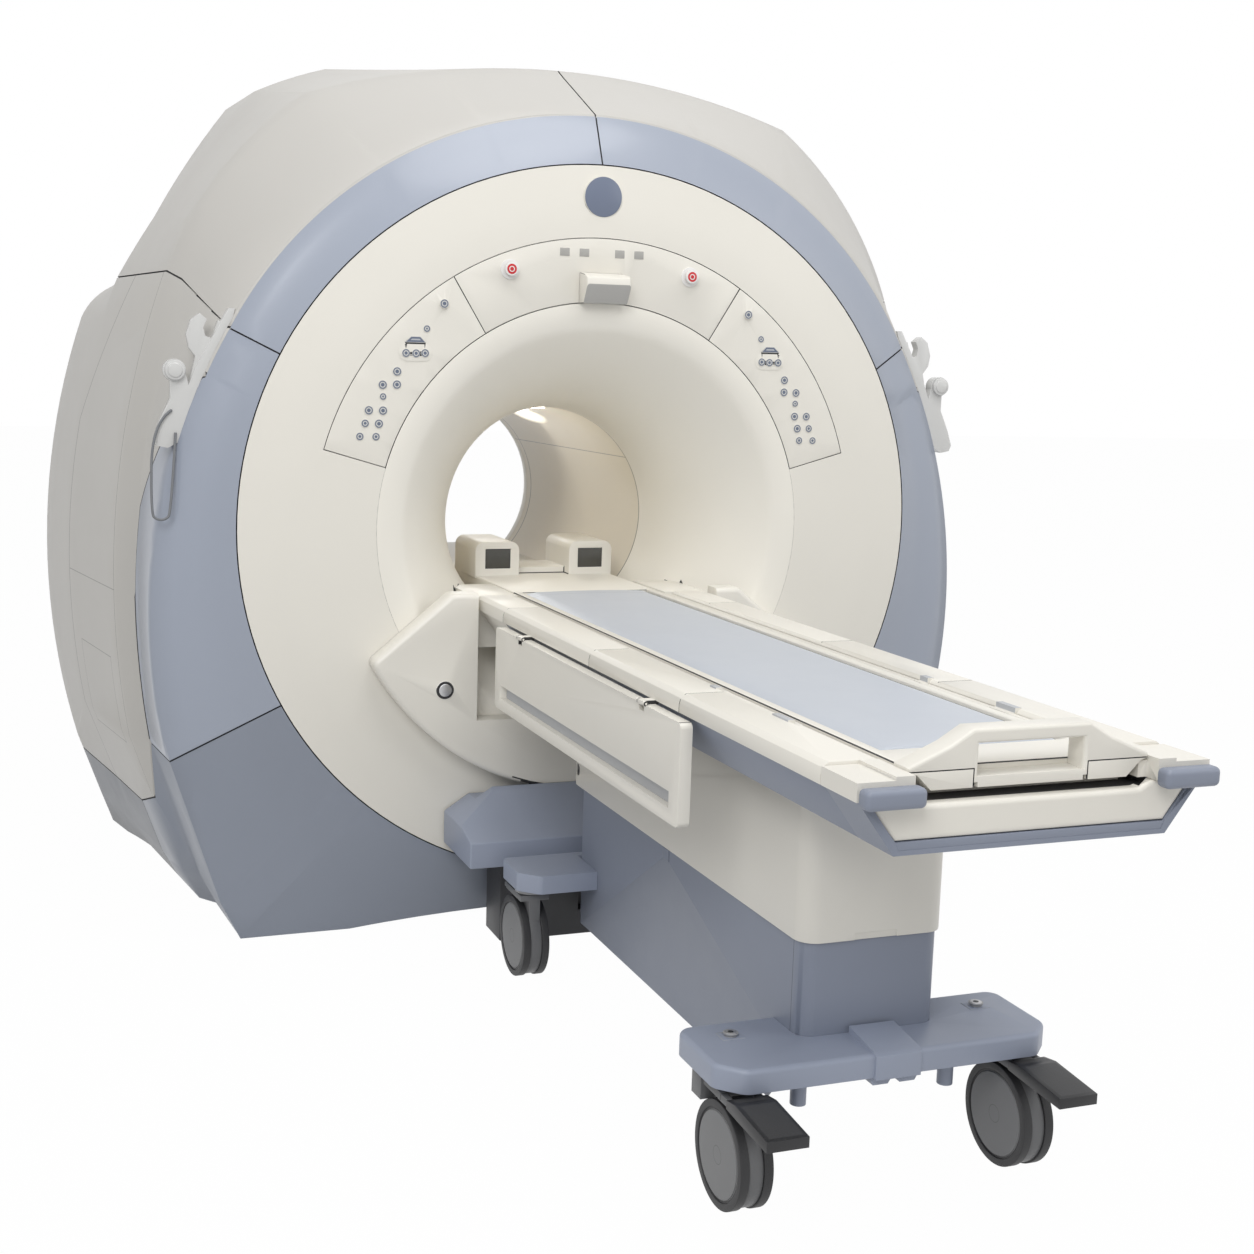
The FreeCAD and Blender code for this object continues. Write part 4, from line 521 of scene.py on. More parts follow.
# Call cord: its hook's X and Z, and the route from there in millimetres.
CORD_HOOK = (-1.012, 1.424)
CORD_BACK = 0.078
CORD_CLEAR = 0.0003
CORD_ROUTE = ((-64, 0, -70), (-112, 0, -100), (-120, -30, -320), (-106, -30, -334),
              (-86, -30, -334), (-72, -30, -320), (-56, 0, -125))

# Foot end: the end plate's lip and dip, and the bars below it, as middle and size.
# Painted shade: over this height the foot frame's inside is made near-black.
FOOT_INSIDE = 0.795
PLATE_AHEAD = 1.975
LIP_Z = 0.791
LIP_HALF = 0.247
LIP_ROUND = 0.010
LIP_SLOPE = 0.77
LIP_MARGIN = 0.0105
LIP_TOP = 0.857
FILLET_DEPTH = 0.0095
FILLET_KEPT = 0.3
DIP_Z = 0.821
DIP_UNDER = 0.001
DIP_ROUND = 0.014
DIP_AHEAD = 1.9
DIP_HALF = 0.235
DIP_FADE = 0.02
DIP_RISE = 0.014
RIM_LEAN = math.radians(36.25)
RIM_BACK = 0.0075
RIM_DEPTH = 0.018
RIM_EDGE = 0.0008
RIM_BOTTOM = ((0.0, 0.7822), (0.500, 0.0135))
RIM_SIDE = ((0.2742, 0.8192), (0.0072, 0.095))

# Rails' clips, as spans ahead, and the arm boards' slots.
CLIPS = ((1.262, 1.298), (1.526, 1.594))
CLIP_REACH = 0.239
CLIP_DEPTH = 0.0075
SLOT_MARGIN = 0.040
SLOT_LOW = 0.680
SLOT_HIGH = 0.718
SLOT_INSIDE = 0.012

# Tower, base plates, bolts (finish, radius, height over the plate) and casters.
TOWER_FLANK = 0.1449
TOWER_CORNER = 0.036
TOWER_JOINT = 0.0022
LATCH_AREA = 0.0012
LATCH_RIM = 0.004
LATCH_PROUD = 0.0006
PLATE_TOP = 0.280
SEAT_REACH = 0.034
SEAT_EDGE = 0.006
BOLT_X = 0.262
BOLT_AHEAD = 1.471
BOLT_DEPTH = 0.0020
BOLT_DISCS = (("collar", 0.0145, 0.0066), ("metal", 0.0115, 0.0076), ("dark", 0.0055, 0.0081))
COLLAR_HEIGHT = 0.0105
COLLAR_BACK = 0.03
HUB_RADIUS = 0.0800
HUB_RING = (0.016, 0.0172)
PEDAL_AREA = 0.0012
PEDAL_RIM = 0.007

# Stage: lamps as place, aim, diameter and watts; the camera's yaw, pitch and roll.
FLOOR_WHITE = 0.985
WORLD_LIGHT = 0.42
LAMPS = {
    "key": ((-3.6, FACE_Y - 5.34, 5.2), (0, FACE_Y - 0.34, 1.0), 4.0, 205),
    "fill": ((5.5, FACE_Y - 4.14, 3.6), (0, FACE_Y + 0.06, 0.9), 4.5, 60),
    "bore": ((0, FACE_Y + 1.05, 1.33), (0, FACE_Y + 0.1, 0.95), 0.3, 0.9),
    "top": ((0.4, FACE_Y - 2.0, 6.3), (0, FACE_Y - 0.9, 0.6), 4.0, 135)}
CAMERA_PLACE = (-1.5527, FACE_Y - 4.1099, 1.4958)
CAMERA_TURN = (20.106, 9.013, 1.477)


def tint(name, description, default):
    return bpy.props.FloatVectorProperty(name=name, description=description,
                                         subtype="COLOR", default=default)


def length(name, description, default):
    return bpy.props.FloatProperty(name=name, description=description, default=default,
                                   unit="LENGTH")


class ScannerColours(bpy.types.PropertyGroup):
    face: tint("Face", "Cream panels round the bore and on the table", (0.79, 0.765, 0.70))
    ring: tint("Ring", "Blue-grey ring round the front face", (0.338, 0.373, 0.448))
    cover: tint("Covers", "Warm grey covers behind the ring", (0.56, 0.545, 0.515))
    table: tint("Table base", "Blue-grey lower parts of the table and the dock",
                (0.235, 0.262, 0.33))
    pad: tint("Pad", "Pale blue vinyl of the patient pad", (0.49, 0.525, 0.585))
    bore: tint("Bore", "Warm liner inside the tube", (0.66, 0.60, 0.48))


class ScannerSizes(bpy.types.PropertyGroup):
    badge_radius: length("Badge radius", "Plain round plate at the crown of the face", 0.050)
    badge_height: length("Badge height", "Its distance from the bore's axis", 0.851)
    cord_diameter: length("Call cord diameter", "Thickness of the cord below the left hook",
                          0.0065)
    lens: bpy.props.FloatProperty(
        name="Lens", description="Focal length of the camera in millimetres", default=48.105)


def colours():
    return bpy.context.scene.scanner_colours


def sizes():
    return bpy.context.scene.scanner_sizes


FINISHES = {}


def finish(name):
    return FINISHES[name].material


class SCANNER_OT_finishes(bpy.types.Operator):
    """Mix the plastics, vinyl, rubber and metals that the pieces share"""
    bl_idname = "scanner.finishes"
    bl_label = "Finishes"

    def execute(self, context):
        face, ring, cover, table = (tuple(tone) for tone in (
            colours().face, colours().ring, colours().cover, colours().table))
        for name, made_as, colour, roughness, *surface in (
                ("face", "face_cream", face, 0.36),
                ("ring", "ring_blue", ring, 0.30, *PEEL, 0.25),
                # Painted shade: the base covers take the ring's blue darkened, for the shade low
                # down on the gantry.
                ("base", "base_blue", shade(ring, 0.76), 0.36),
                # Painted light: the plates and the dock's cover take the table's blue made
                # lighter, for the light on their tops.
                ("plate", "plate_blue", shade(table, 1.35), 0.42, 0.00012),
                ("cover", "cover_grey", cover, 0.42),
                # Painted shade: the base's sides take the ring's blue darkened further, as they
                # face away from the light.
                ("base_sides", "base_side_blue", shade(ring, 0.38), 0.38),
                ("table", "table_blue", table, 0.44, 0.00012),
                ("clip", "clip_grey", (0.46, 0.475, 0.50), 0.40),
                # Painted shade: near-black for faces that look into gaps, and for the inside of
                # the foot frame's channel.
                ("seam", "seam_shadow", (0.035, 0.035, 0.037), 0.7),
                ("dark", "black_plastic", (0.018, 0.018, 0.02), 0.42, 0.0002, 400),
                ("dock", "dock_body_grey", (0.035, 0.036, 0.040), 0.5, 0.0002, 400),
                ("grey", "caster_grey", (0.135, 0.137, 0.142), 0.45, 0.0002, 500),
                ("collar", "collar_grey", (0.33, 0.335, 0.345), 0.40),
                ("visor_low", "visor_underside", (0.46, 0.455, 0.44), 0.42),
                ("mark", "key_print", (0.13, 0.155, 0.215), 0.5),
                ("key", "key_pale", (0.60, 0.60, 0.58), 0.42),
                ("white", "white_plastic", (0.82, 0.81, 0.79), 0.3),
                ("tread_plate", "pedal_tread", (0.045, 0.045, 0.047), 0.55, 0.0004, 350),
                ("cord", "cord_rubber", (0.17, 0.178, 0.19), 0.5, 0.0001, 600),
                ("hook", "hook_plastic", (0.62, 0.62, 0.61), 0.22, *PEEL, 0.3),
                ("badge", "badge_blue", (0.15, 0.18, 0.255), 0.34, *PEEL, 0.3),
                # Painted light: the front funnel takes the face's cream made lighter.
                ("funnel", "funnel_cream", shade(face, 1.08), 0.34)):
            FINISHES[name] = moulded(made_as, colour, roughness, *surface)
        self.liner()
        self.flank()
        self.metal()
        self.vinyl()
        self.glass()
        return {"FINISHED"}

    def flank(self):
        """The side panels' finish, with the joints of their doors and hatch."""
        tone = tuple(colours().cover)
        flank = moulded("flank_grey", tone, 0.42)
        _, y, z = flank.axes()
        deep = y - FACE_Y
        leaning = deep + (z > DOOR_BEND) * (z - DOOR_BEND) * DOOR_LEAN
        (near_side, far_side), (low, high) = HATCH
        hatch = (deep.band(near_side, far_side) * z.band(low, high)
                 - deep.band(near_side + THIN_JOINT, far_side - THIN_JOINT)
                 * z.band(low + THIN_JOINT, high - THIN_JOINT))
        joints = (deep.band(DOOR_FRONT, DOOR_FRONT + DOOR_JOINT)
                  + leaning.band(DOOR_BACK, DOOR_BACK + BACK_JOINT)
                  + z.band(DOOR_SPLIT, DOOR_SPLIT + THIN_JOINT)
                  * deep.band(DOOR_FRONT, DOOR_BACK) + hatch)
        banded(flank, joints, shade(tone, 0.5))
        FINISHES["flank"] = flank

    def liner(self):
        """The tube's liner, with its joints and the warm light of the lamp on it."""
        tone = tuple(colours().bore)
        liner = moulded("bore_liner", tone, 0.30)
        x, y, z = liner.axes()
        joints = ((y - TUBE_LOW.y).band(*LINER_END)
                  + y.band(LINER_RING_Y, LINER_RING_Y + LINER_JOINT)
                  + z.band(LINER_SEAM_Z, LINER_SEAM_Z + THIN_JOINT))
        banded(liner, joints, shade(tone, 0.32))
        lamp = middle_of("bore_lamp")
        away = (x - lamp.x).length(y - lamp.y - GLOW_SHIFT, z - lamp.z)
        glow = away.fading(GLOW_REACH)
        spot = ((x - GLARE.x) / GLARE_SIZE.x).length(
            (y - GLARE.y) / GLARE_SIZE.y, (z - GLARE.z) / GLARE_SIZE.z)
        liner.paint(Emission_Color=liner.mix(
            glow * glow * GLOW_SHARE + spot.fading(1.0), (0, 0, 0), (1.0, 0.92, 0.76)),
            Emission_Strength=2.4)
        FINISHES["bore"] = liner

    def metal(self):
        brushed = Finish("brushed_metal")
        streak = brushed.noise(220.0, 4.0)
        brushed.paint(Base_Color=brushed.mix(streak, (0.45, 0.45, 0.46), (0.6, 0.6, 0.61)),
                      Roughness=0.28 + streak * 0.12, Metallic=0.85)
        brushed.grain(streak, 0.0001, 0.4)
        FINISHES["metal"] = brushed
        copper = Finish("winding_copper")
        turns = copper.noise(60.0, 3.0)
        copper.paint(Base_Color=copper.mix(turns, (0.36, 0.17, 0.08), (0.55, 0.28, 0.14)),
                     Roughness=0.4 + turns * 0.1, Metallic=0.6)
        FINISHES["copper"] = copper

    def vinyl(self):
        vinyl = Finish("pad_vinyl")
        tone = tuple(colours().pad)
        pebble = vinyl.add("ShaderNodeTexVoronoi", {"feature": "SMOOTH_F1"}, {
            "Vector": vinyl.place, "Scale": 650.0, "Smoothness": 0.8})
        drift = vinyl.noise(4.0, 3.0)
        use = vinyl.noise(11.0, 5.0, 0.6)
        vinyl.paint(Base_Color=vinyl.mix(drift, shade(tone, 0.96), shade(tone, 1.03)),
                    Roughness=0.40 + (use - 0.5) * 0.14, Sheen_Weight=0.12)
        vinyl.grain(pebble, 0.00012, 0.6)
        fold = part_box("pad")[1].y - PAD_FOLD
        banded(vinyl, vinyl.axes()[1].band(fold, fold + FOLD_WIDTH), shade(tone, 0.55))
        FINISHES["vinyl"] = vinyl

    def glass(self):
        window = Finish("socket_window")
        fog = window.noise(30.0, 3.0)
        window.paint(Base_Color=window.mix(fog, (0.055, 0.055, 0.048), (0.075, 0.073, 0.065)),
                     Roughness=0.12 + fog * 0.08)
        FINISHES["window"] = window
        display = Finish("status_display")
        haze = display.noise(90.0, 2.0)
        display.paint(Base_Color=display.mix(haze, (0.36, 0.355, 0.335), (0.42, 0.41, 0.39)),
                      Roughness=0.22 + haze * 0.06)
        FINISHES["display"] = display
        lamp = Finish("bore_lamp_glow")
        ripple = lamp.noise(50.0, 2.0)
        lamp.paint(Base_Color=lamp.mix(ripple, (0.98, 0.93, 0.8), (1.0, 0.97, 0.9)),
                   Roughness=0.3 + ripple * 0.1, Emission_Color=(1.0, 0.93, 0.78),
                   Emission_Strength=6.0)
        FINISHES["lamp"] = lamp


# --- gantry

class SCANNER_OT_enclosure(bpy.types.Operator):
    """Give the covers eased edges, their colours, the base's blue darkened as painted shade, and
    one flowing surface
    """
    bl_idname = "scanner.enclosure"
    bl_label = "Enclosure"

    def execute(self, context):
        for node in COVERS:
            skin(node, self.tone(node), 0.002, SHARP, flat=0.0)
        form = self.flowing_form()
        for node in COVERS:
            self.follow(SKINS[node], form)
        bpy.data.objects.remove(form)
        return {"FINISHED"}

    def tone(self, node):
        """The finish of a cover."""
        return node if node == "base_sides" else {
            "ring": "ring", "base": "base", "side": "flank"}.get(node.split("_")[0], "cover")

    def flowing_form(self):
        """A smooth round-the-axis form of the covers' outside, read by rays from afar."""
        outside = tree_of(SKINS[node] for node in COVERS)
        low = min(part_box(node)[0].y for node in COVERS)
        high = max(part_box(node)[1].y for node in COVERS)
        rings = [low + FORM_INSET + (high - low - 2 * FORM_INSET) * step / FORM_RINGS
                 for step in range(FORM_RINGS + 1)]
        reaches = [[self.reach(outside, y, spoke) for spoke in range(FORM_SPOKES)]
                   for y in rings]
        for _ in range(FORM_PASSES):
            reaches = self.evened(reaches)
        corners, faces = [], []
        for y, row in zip(rings, reaches):
            for spoke, reach in enumerate(row):
                x, z = polar(reach, 360 * spoke / FORM_SPOKES)
                corners.append((x, y, z))
        for ring in range(FORM_RINGS):
            for spoke in range(FORM_SPOKES):
                after = (spoke + 1) % FORM_SPOKES
                start, end = ring * FORM_SPOKES, (ring + 1) * FORM_SPOKES
                faces.append((start + spoke, start + after, end + after, end + spoke))
        mesh = bpy.data.meshes.new("flowing_form")
        mesh.from_pydata(corners, [], faces)
        form = bpy.data.objects.new("flowing_form", mesh)
        bpy.context.scene.collection.objects.link(form)
        select_only(form)
        throughout(bpy.ops.mesh.normals_make_consistent, inside=False)
        bpy.ops.object.shade_smooth()
        return form

    def reach(self, outside, y, spoke):
        """How far the covers stand from the bore's axis; seams are looked past."""
        best = 0.0
        for nudge in (-0.5, 0.0, 0.5):
            x, z = polar(FORM_START, 360 * (spoke + nudge) / FORM_SPOKES)
            start = Vector((x, y, z))
            middle = Vector((0, y, AXIS_Z))
            hit = outside.ray_cast(start, (middle - start).normalized())[0]
            if hit:
                best = max(best, (hit - middle).length)
        return best

    def evened(self, reaches):
        """Each reach drawn towards its neighbours' mean."""
        rows = len(reaches)
        evened = []
        for ring, row in enumerate(reaches):
            before, after = reaches[max(ring - 1, 0)], reaches[min(ring + 1, rows - 1)]
            evened.append([
                FORM_OWN * reach + FORM_SIDE * (row[spoke - 1] + row[(spoke + 1) % len(row)]
                                                + before[spoke] + after[spoke])
                for spoke, reach in enumerate(row)])
        return evened

    def follow(self, piece, form):
        """Lends the form's flow to the shading of a cover's outer faces."""
        group = piece.vertex_groups.new(name="outside")
        for face in piece.data.polygons:
            middle = face.center
            flat = Vector((middle.x, 0, middle.z - AXIS_Z)).length
            if flat < RIM_RADIUS or face.area < SMALL_FACE or middle.z < FORM_LOW:
                continue
            hit = form.closest_point_on_mesh(middle)
            if hit[0] and face.normal.dot(hit[2]) > FORM_LIKE:
                group.add(list(face.vertices), 1.0, "REPLACE")
        modifier(piece, "DATA_TRANSFER", object=form, vertex_group="outside",
                 use_loop_data=True, data_types_loops={"CUSTOM_NORMAL"},
                 loop_mapping="POLYINTERP_NEAREST")


class SCANNER_OT_bore(bpy.types.Operator):
    """Finish the funnels, the tube and what is behind them"""
    bl_idname = "scanner.bore"
    bl_label = "Bore and magnet"

    def execute(self, context):
        skin("front_funnel", "funnel", 0.0, SHARP, flat=0)
        skin("rear_funnel", "face", 0.001, SHARP)
        carry("bore_tube", "bore")
        carry("bore_lamp", "lamp")
        carry("vacuum_vessel", "metal")
        for node in ("body_coil", "gradient_coil", "main_coils"):
            carry(node, "copper")
        return {"FINISHED"}


class SCANNER_OT_console(bpy.types.Operator):
    """Finish the front face, the console panels and their controls"""
    bl_idname = "scanner.console"
    bl_label = "Console"

    def execute(self, context):
        levelled(skin("front_face", "face", 0.001, SHARP, flat=0))
        x, z = polar(sizes().badge_height, 0)
        disc("badge_plate", (x, FACE_Y + KEY_PROUD, z), sizes().badge_radius, BADGE_DEPTH,
             "badge", "magnet", 0.001, 96)
        self.centre_panel()
        self.control_panels()
        visor = skin("laser_visor", "face", 0.001, SHARP)
        repaint(visor, "visor_low", lambda face: face.normal.z < VISOR_UNDER)
        return {"FINISHED"}

    def centre_panel(self):
        panel = skin("console_panel", "face", 0.0005, SHARP)
        repaint(panel, "display", lambda face: face.center.y < FACE_Y - PROUD
                and abs(face.center.x) < WINDOW_REACH and face.center.z > WINDOW_LOW)
        for side in ("left", "right"):
            spot = middle_of(f"stop_button_{side}")
            repaint(panel, "white", lambda face: face.center.y < FACE_Y - PROUD
                    and near(face, spot, STOP_COLLAR))
            target = moulded(f"stop_target_{side}", (0.80, 0.79, 0.77), 0.32, coat=0.3)
            x, _, z = target.axes()
            away = (x - spot.x).length(z - spot.z)
            red = away.band(*STOP_RING) + (away < STOP_DOT)
            FINISHES[target.material.name] = banded(target, red, (0.56, 0.012, 0.02))
            skin(f"stop_button_{side}", target.material.name, 0.001, SHARP)

    def control_panels(self):
        """The panels, with a print of rings and dots over the raised keys."""
        prints = copied("control_panels")
        flattened(FLAT)
        pick(prints, lambda face: not (self.key(face) or self.display(face)))
        bpy.ops.mesh.delete(type="FACE")
        enter("OBJECT")
        finish_piece(prints, "key_prints", "key", "magnet", SHARP)
        rings = inlay(prints, "mark", KEY_EDGE, self.key)
        gaps = inlay(prints, "key", KEY_RING, lambda face: face.index in rings)
        inlay(prints, "mark", KEY_GAP, lambda face: face.index in gaps)
        screens = inlay(prints, "mark", SCREEN_EDGE, self.display)
        inlay(prints, "clip", SCREEN_FRAME, lambda face: face.index in screens)
        for vertex in prints.data.vertices:
            vertex.co.y -= PRINT_LIFT
        modifier(prints, "SOLIDIFY", thickness=0.0003, offset=-1)
        levelled(skin("control_panels", "face", 0.0, SHARP, flat=0))

    def key(self, face):
        """Whether a face is the round top of a raised key."""
        corners = [face.id_data.vertices[index].co for index in face.vertices]
        reach = max((corner - face.center).length for corner in corners)
        return (face.normal.y < -0.99 and face.center.y < FACE_Y - KEY_PROUD
                and len(corners) > KEY_CORNERS and reach < KEY_REACH
                and face.area > KEY_ROUNDNESS * reach ** 2)

    def display(self, face):
        """Whether a face is the four-cornered status screen."""
        return (face.normal.y < -0.99 and face.center.y < FACE_Y - KEY_PROUD
                and len(face.vertices) == 4 and narrowness(face) > SCREEN_SIDE)


class SCANNER_OT_saddle(bpy.types.Operator):
    """Finish the cover that cradles the table's head, and its lock button"""
    bl_idname = "scanner.saddle"
    bl_label = "Saddle"

    def execute(self, context):
        saddle = skin("saddle_cover", "face", 0.0008, SHARP)
        spot = middle_of("lock_button")
        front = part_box("saddle_cover")[0].y
        repaint(saddle, "white", lambda face: near(face, spot, LOCK_COLLAR)
                and face.center.y < front + LOCK_PROUD)
        skin("lock_button", "metal", 0.002, SHARP)
        return {"FINISHED"}


class SCANNER_OT_dock(bpy.types.Operator):
    """Finish the floor dock"""
    bl_idname = "scanner.dock"
    bl_label = "Dock"

    def execute(self, context):
        skin("dock_unit_cover", "plate", 0.014, 30, segments=4)
        skin("dock_unit_body", "dock", 0.003, 30)
        return {"FINISHED"}


class SCANNER_OT_carriage(bpy.types.Operator):
    """Finish the bridge in the bore and the carriage that runs on it"""
    bl_idname = "scanner.carriage"
    bl_label = "Bridge and carriage"

    def execute(self, context):
        skin("bridge", "face", 0.0015, SHARP)
        skin("carriage", "face", 0.0025, SHARP)
        skin("coil_sockets", "window", 0.0008, SHARP)
        return {"FINISHED"}


class SCANNER_OT_hangers(bpy.types.Operator):
    """Finish the hooks and bulbs on the flanks, and hang the call cord"""
    bl_idname = "scanner.hangers"
    bl_label = "Hangers and call cord"

    def execute(self, context):
        skin("hangers", "hook", 0.005, 30, segments=4)
        skin("call_bulbs", "hook", 0.0015, SHARP)
        hook_x, hook_z = CORD_HOOK
        front_y = FACE_Y + CORD_BACK - sizes().cord_diameter / 2 - CORD_CLEAR
        points = [(hook_x + x / 1000, front_y + y / 1000, hook_z + z / 1000)
                  for x, y, z in CORD_ROUTE]
        curve = bpy.data.curves.new("call_cord", "CURVE")
        curve.dimensions = "3D"
        spline = curve.splines.new("NURBS")
        spline.points.add(len(points) - 1)
        for point, place in zip(spline.points, points):
            point.co = (*place, 1)
        spline.order_u = 3
        spline.use_endpoint_u = True
        spline.resolution_u = 12
        curve.bevel_depth = sizes().cord_diameter / 2
        curve.bevel_resolution = 6
        curve.use_fill_caps = True
        cord = bpy.data.objects.new("call_cord", curve)
        context.scene.collection.objects.link(cord)
        curve.materials.append(finish("cord"))
        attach(cord, "magnet")
        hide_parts("hose_loop")
        return {"FINISHED"}


# --- patient table

class SCANNER_OT_table_top(bpy.types.Operator):
    """Finish the table's frame, rails and foot end"""
    bl_idname = "scanner.table_top"
    bl_label = "Table top"

    def execute(self, context):
        skin("head_fairing", "face", 0.003)
        skin("table_frame", "table", 0.004)
        foot = levelled(skin("foot_frame", "table", 0.0, flat=0))
        # Painted shade: the frame's faces inside its channel, under the end plate, are made
        # near-black.
        repaint(foot, "seam", lambda face: face.center.z > FOOT_INSIDE
                and abs(face.center.x) < DIP_HALF)
        rails = skin("table_rails", "face", 0.0012)
        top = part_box("table_rails")[1].z
        for start, end in CLIPS:
            repaint(rails, "clip", lambda face: ahead(end) < face.center.y < ahead(start)
                    and face.center.z > top - CLIP_DEPTH and abs(face.center.x) < CLIP_REACH)
        self.end_plate()
        skin("corner_caps", "table", 0.009, segments=4)
        return {"FINISHED"}

    def end_plate(self):
        """The end plate with a higher dip and a flatter lower rim, and the bars below it."""
        end = skin("end_frame", "face", 0.0, 22, flat=0)
        front = ahead(PLATE_AHEAD)
        for vertex in end.data.vertices:
            place = vertex.co
            if DIP_Z - DIP_UNDER < place.z < DIP_Z + DIP_ROUND and place.y < ahead(DIP_AHEAD):
                place.z += DIP_RISE * min(1.0, max(0.0, (DIP_HALF - abs(place.x)) / DIP_FADE))
            rim = LIP_HALF + (place.z - LIP_Z) * LIP_SLOPE - LIP_MARGIN
            low = place.z < LIP_Z + LIP_ROUND or abs(place.x) > rim and place.z < LIP_TOP
            if low and 0 < place.y - front < FILLET_DEPTH:
                place.y = front + (place.y - front) * FILLET_KEPT
        levelled(end)
        bars = []
        for side, way, ((x, z), (width, height)) in (
                ("bottom", 0, RIM_BOTTOM), ("left", -1, RIM_SIDE), ("right", 1, RIM_SIDE)):
            bars.append(plate(f"rim_{side}", (way * x, front + RIM_BACK, z),
                              (width, RIM_DEPTH, height), "table",
                              BODY_OF["foot_frame"], RIM_EDGE,
                              turn=(0, way * RIM_LEAN, 0)))
        joined(bars, "foot_rim")


class SCANNER_OT_cradle(bpy.types.Operator):
    """Finish the cradle, its pad and the foot handle"""
    bl_idname = "scanner.cradle"
    bl_label = "Cradle and pad"

    def execute(self, context):
        skin("cradle", "face", 0.002)
        self.pad(context)
        skin("foot_handle", "face", 0.0015)
        return {"FINISHED"}

    def pad(self, context):
        """A thin vinyl mattress, blown up a little between its edges."""
        pad = copied("pad")
        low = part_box("pad")[0]
        modifier(pad, "REMESH", mode="VOXEL", voxel_size=PAD_VOXEL)
        places = [vertex.co.copy() for vertex in pad.data.vertices]
        select_only(pad)
        cloth = pad.modifiers.new("swell", "CLOTH")
        cloth.settings.use_pressure = True
        cloth.settings.uniform_pressure_force = 4
        cloth.settings.effector_weights.gravity = 0
        for step in range(1, PAD_STEPS + 1):
            context.scene.frame_set(step)
        bpy.ops.object.modifier_apply(modifier="swell")
        context.scene.frame_set(1)
        for vertex, place in zip(pad.data.vertices, places):
            moved = vertex.co - place
            if moved.length > PAD_SWELL:
                vertex.co = place + moved * (PAD_SWELL / moved.length)
            if place.z < low.z + PAD_VOXEL:
                vertex.co.z = max(place.z, low.z)
        modifier(pad, "SMOOTH", factor=0.5, iterations=4)
        finish_piece(pad, "pad_mattress", "vinyl", BODY_OF["pad"], 70)
        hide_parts("pad")


class SCANNER_OT_arm_boards(bpy.types.Operator):
    """Finish the folding arm boards"""
    bl_idname = "scanner.arm_boards"
    bl_label = "Arm boards"

    def execute(self, context):
        for side in ("left", "right"):
            board = skin(f"side_rail_{side}", "face", 0.0025,
                             segments=3)
            low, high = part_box(f"side_rail_{side}")
            outer = max(abs(low.x), abs(high.x))
            repaint(board, "clip", lambda face: abs(face.center.x) < outer - SLOT_INSIDE
                    and abs(face.normal.x) > 0.9
                    and low.y + SLOT_MARGIN < face.center.y < high.y - SLOT_MARGIN
                    and SLOT_LOW < face.center.z < SLOT_HIGH)
        return {"FINISHED"}


class SCANNER_OT_pedestal(bpy.types.Operator):
    """Finish the lifting pedestal and the base plates"""
    bl_idname = "scanner.pedestal"
    bl_label = "Pedestal and base"

    def execute(self, context):
        skin("pedestal_upper", "face", 0.0012, flat=0.05)
        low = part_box("pedestal_lower")[0]
        tower = moulded("tower_blue", tuple(colours().table), 0.44, grain=0.00012)
        x, y, _ = tower.axes()
        seam = (x.size() > TOWER_FLANK) * y.band(low.y + TOWER_CORNER,
                                                 low.y + TOWER_CORNER + TOWER_JOINT)
        FINISHES["tower"] = banded(tower, seam, shade(tuple(colours().table), 0.45))
        lower = skin("pedestal_lower", "tower", 0.0, flat=0.05)
        inlay(lower, "table", LATCH_RIM, lambda face: face.normal.x < -0.99
              and face.center.x < low.x + LATCH_PROUD and face.area < LATCH_AREA)
        self.plates()
        skin("lift_base", "metal", 0.001)
        return {"FINISHED"}

    def plates(self):
        """Steel seats with dark sockets on the plate's two bolts."""
        plates = skin("base_plates", "plate", 0.003, segments=3)
        bolts = []
        for side in (-1, 1):
            for tone, radius, height in BOLT_DISCS:
                centre = (side * BOLT_X, ahead(BOLT_AHEAD), PLATE_TOP + height)
                bolts.append(disc(f"bolt_{tone}_{side}", centre, radius, BOLT_DEPTH, tone,
                                  BODY_OF["base_plates"], edge=0.0005, sides=40,
                                  turn=(0, 0, 0)))
            spot = Vector((side * BOLT_X, ahead(BOLT_AHEAD), PLATE_TOP))
            repaint(plates, "collar", lambda face:
                    (face.center - spot).length < SEAT_REACH
                    and face.center.z > PLATE_TOP + PROUD
                    and narrowness(face) < SEAT_EDGE)
        joined(bolts, "bolt_heads")


class SCANNER_OT_casters(bpy.types.Operator):
    """Finish the twin-wheel casters and their brake pedals"""
    bl_idname = "scanner.casters"
    bl_label = "Casters"

    def execute(self, context):
        for corner in CASTER_CORNERS:
            fork = skin(f"caster_fork_{corner}", "grey", 0.002)
            collar_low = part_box(f"caster_fork_{corner}")[1].z - COLLAR_HEIGHT
            repaint(fork, "collar", lambda face: face.center.z > collar_low
                    and face.center.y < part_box(f"caster_fork_{corner}")[1].y - COLLAR_BACK)
            self.tread(corner)
            skin(f"caster_wheel_{corner}", f"wheel_{corner}", 0.005, segments=4)
        for corner in CASTER_CORNERS[:2]:
            pedal = skin(f"brake_pedal_{corner}", "dark", 0.0025)
            inlay(pedal, "tread_plate", PEDAL_RIM, lambda face: face.normal.z > 0.6
                  and face.area > PEDAL_AREA, depth=0.0012)
        return {"FINISHED"}

    def tread(self, corner):
        """Black tread round a grey hub, told apart by the distance from the axle."""
        axle = middle_of(f"caster_wheel_{corner}")
        rubber = moulded(f"wheel_{corner}", (0.022, 0.022, 0.024), 0.55, 0.0003, 300)
        _, y, z = rubber.axes()
        radius = (y - axle.y).length(z - axle.z)
        banded(rubber, radius < HUB_RADIUS, (0.205, 0.207, 0.212))
        FINISHES[f"wheel_{corner}"] = banded(rubber, radius.band(*HUB_RING), (0.12, 0.12, 0.125))


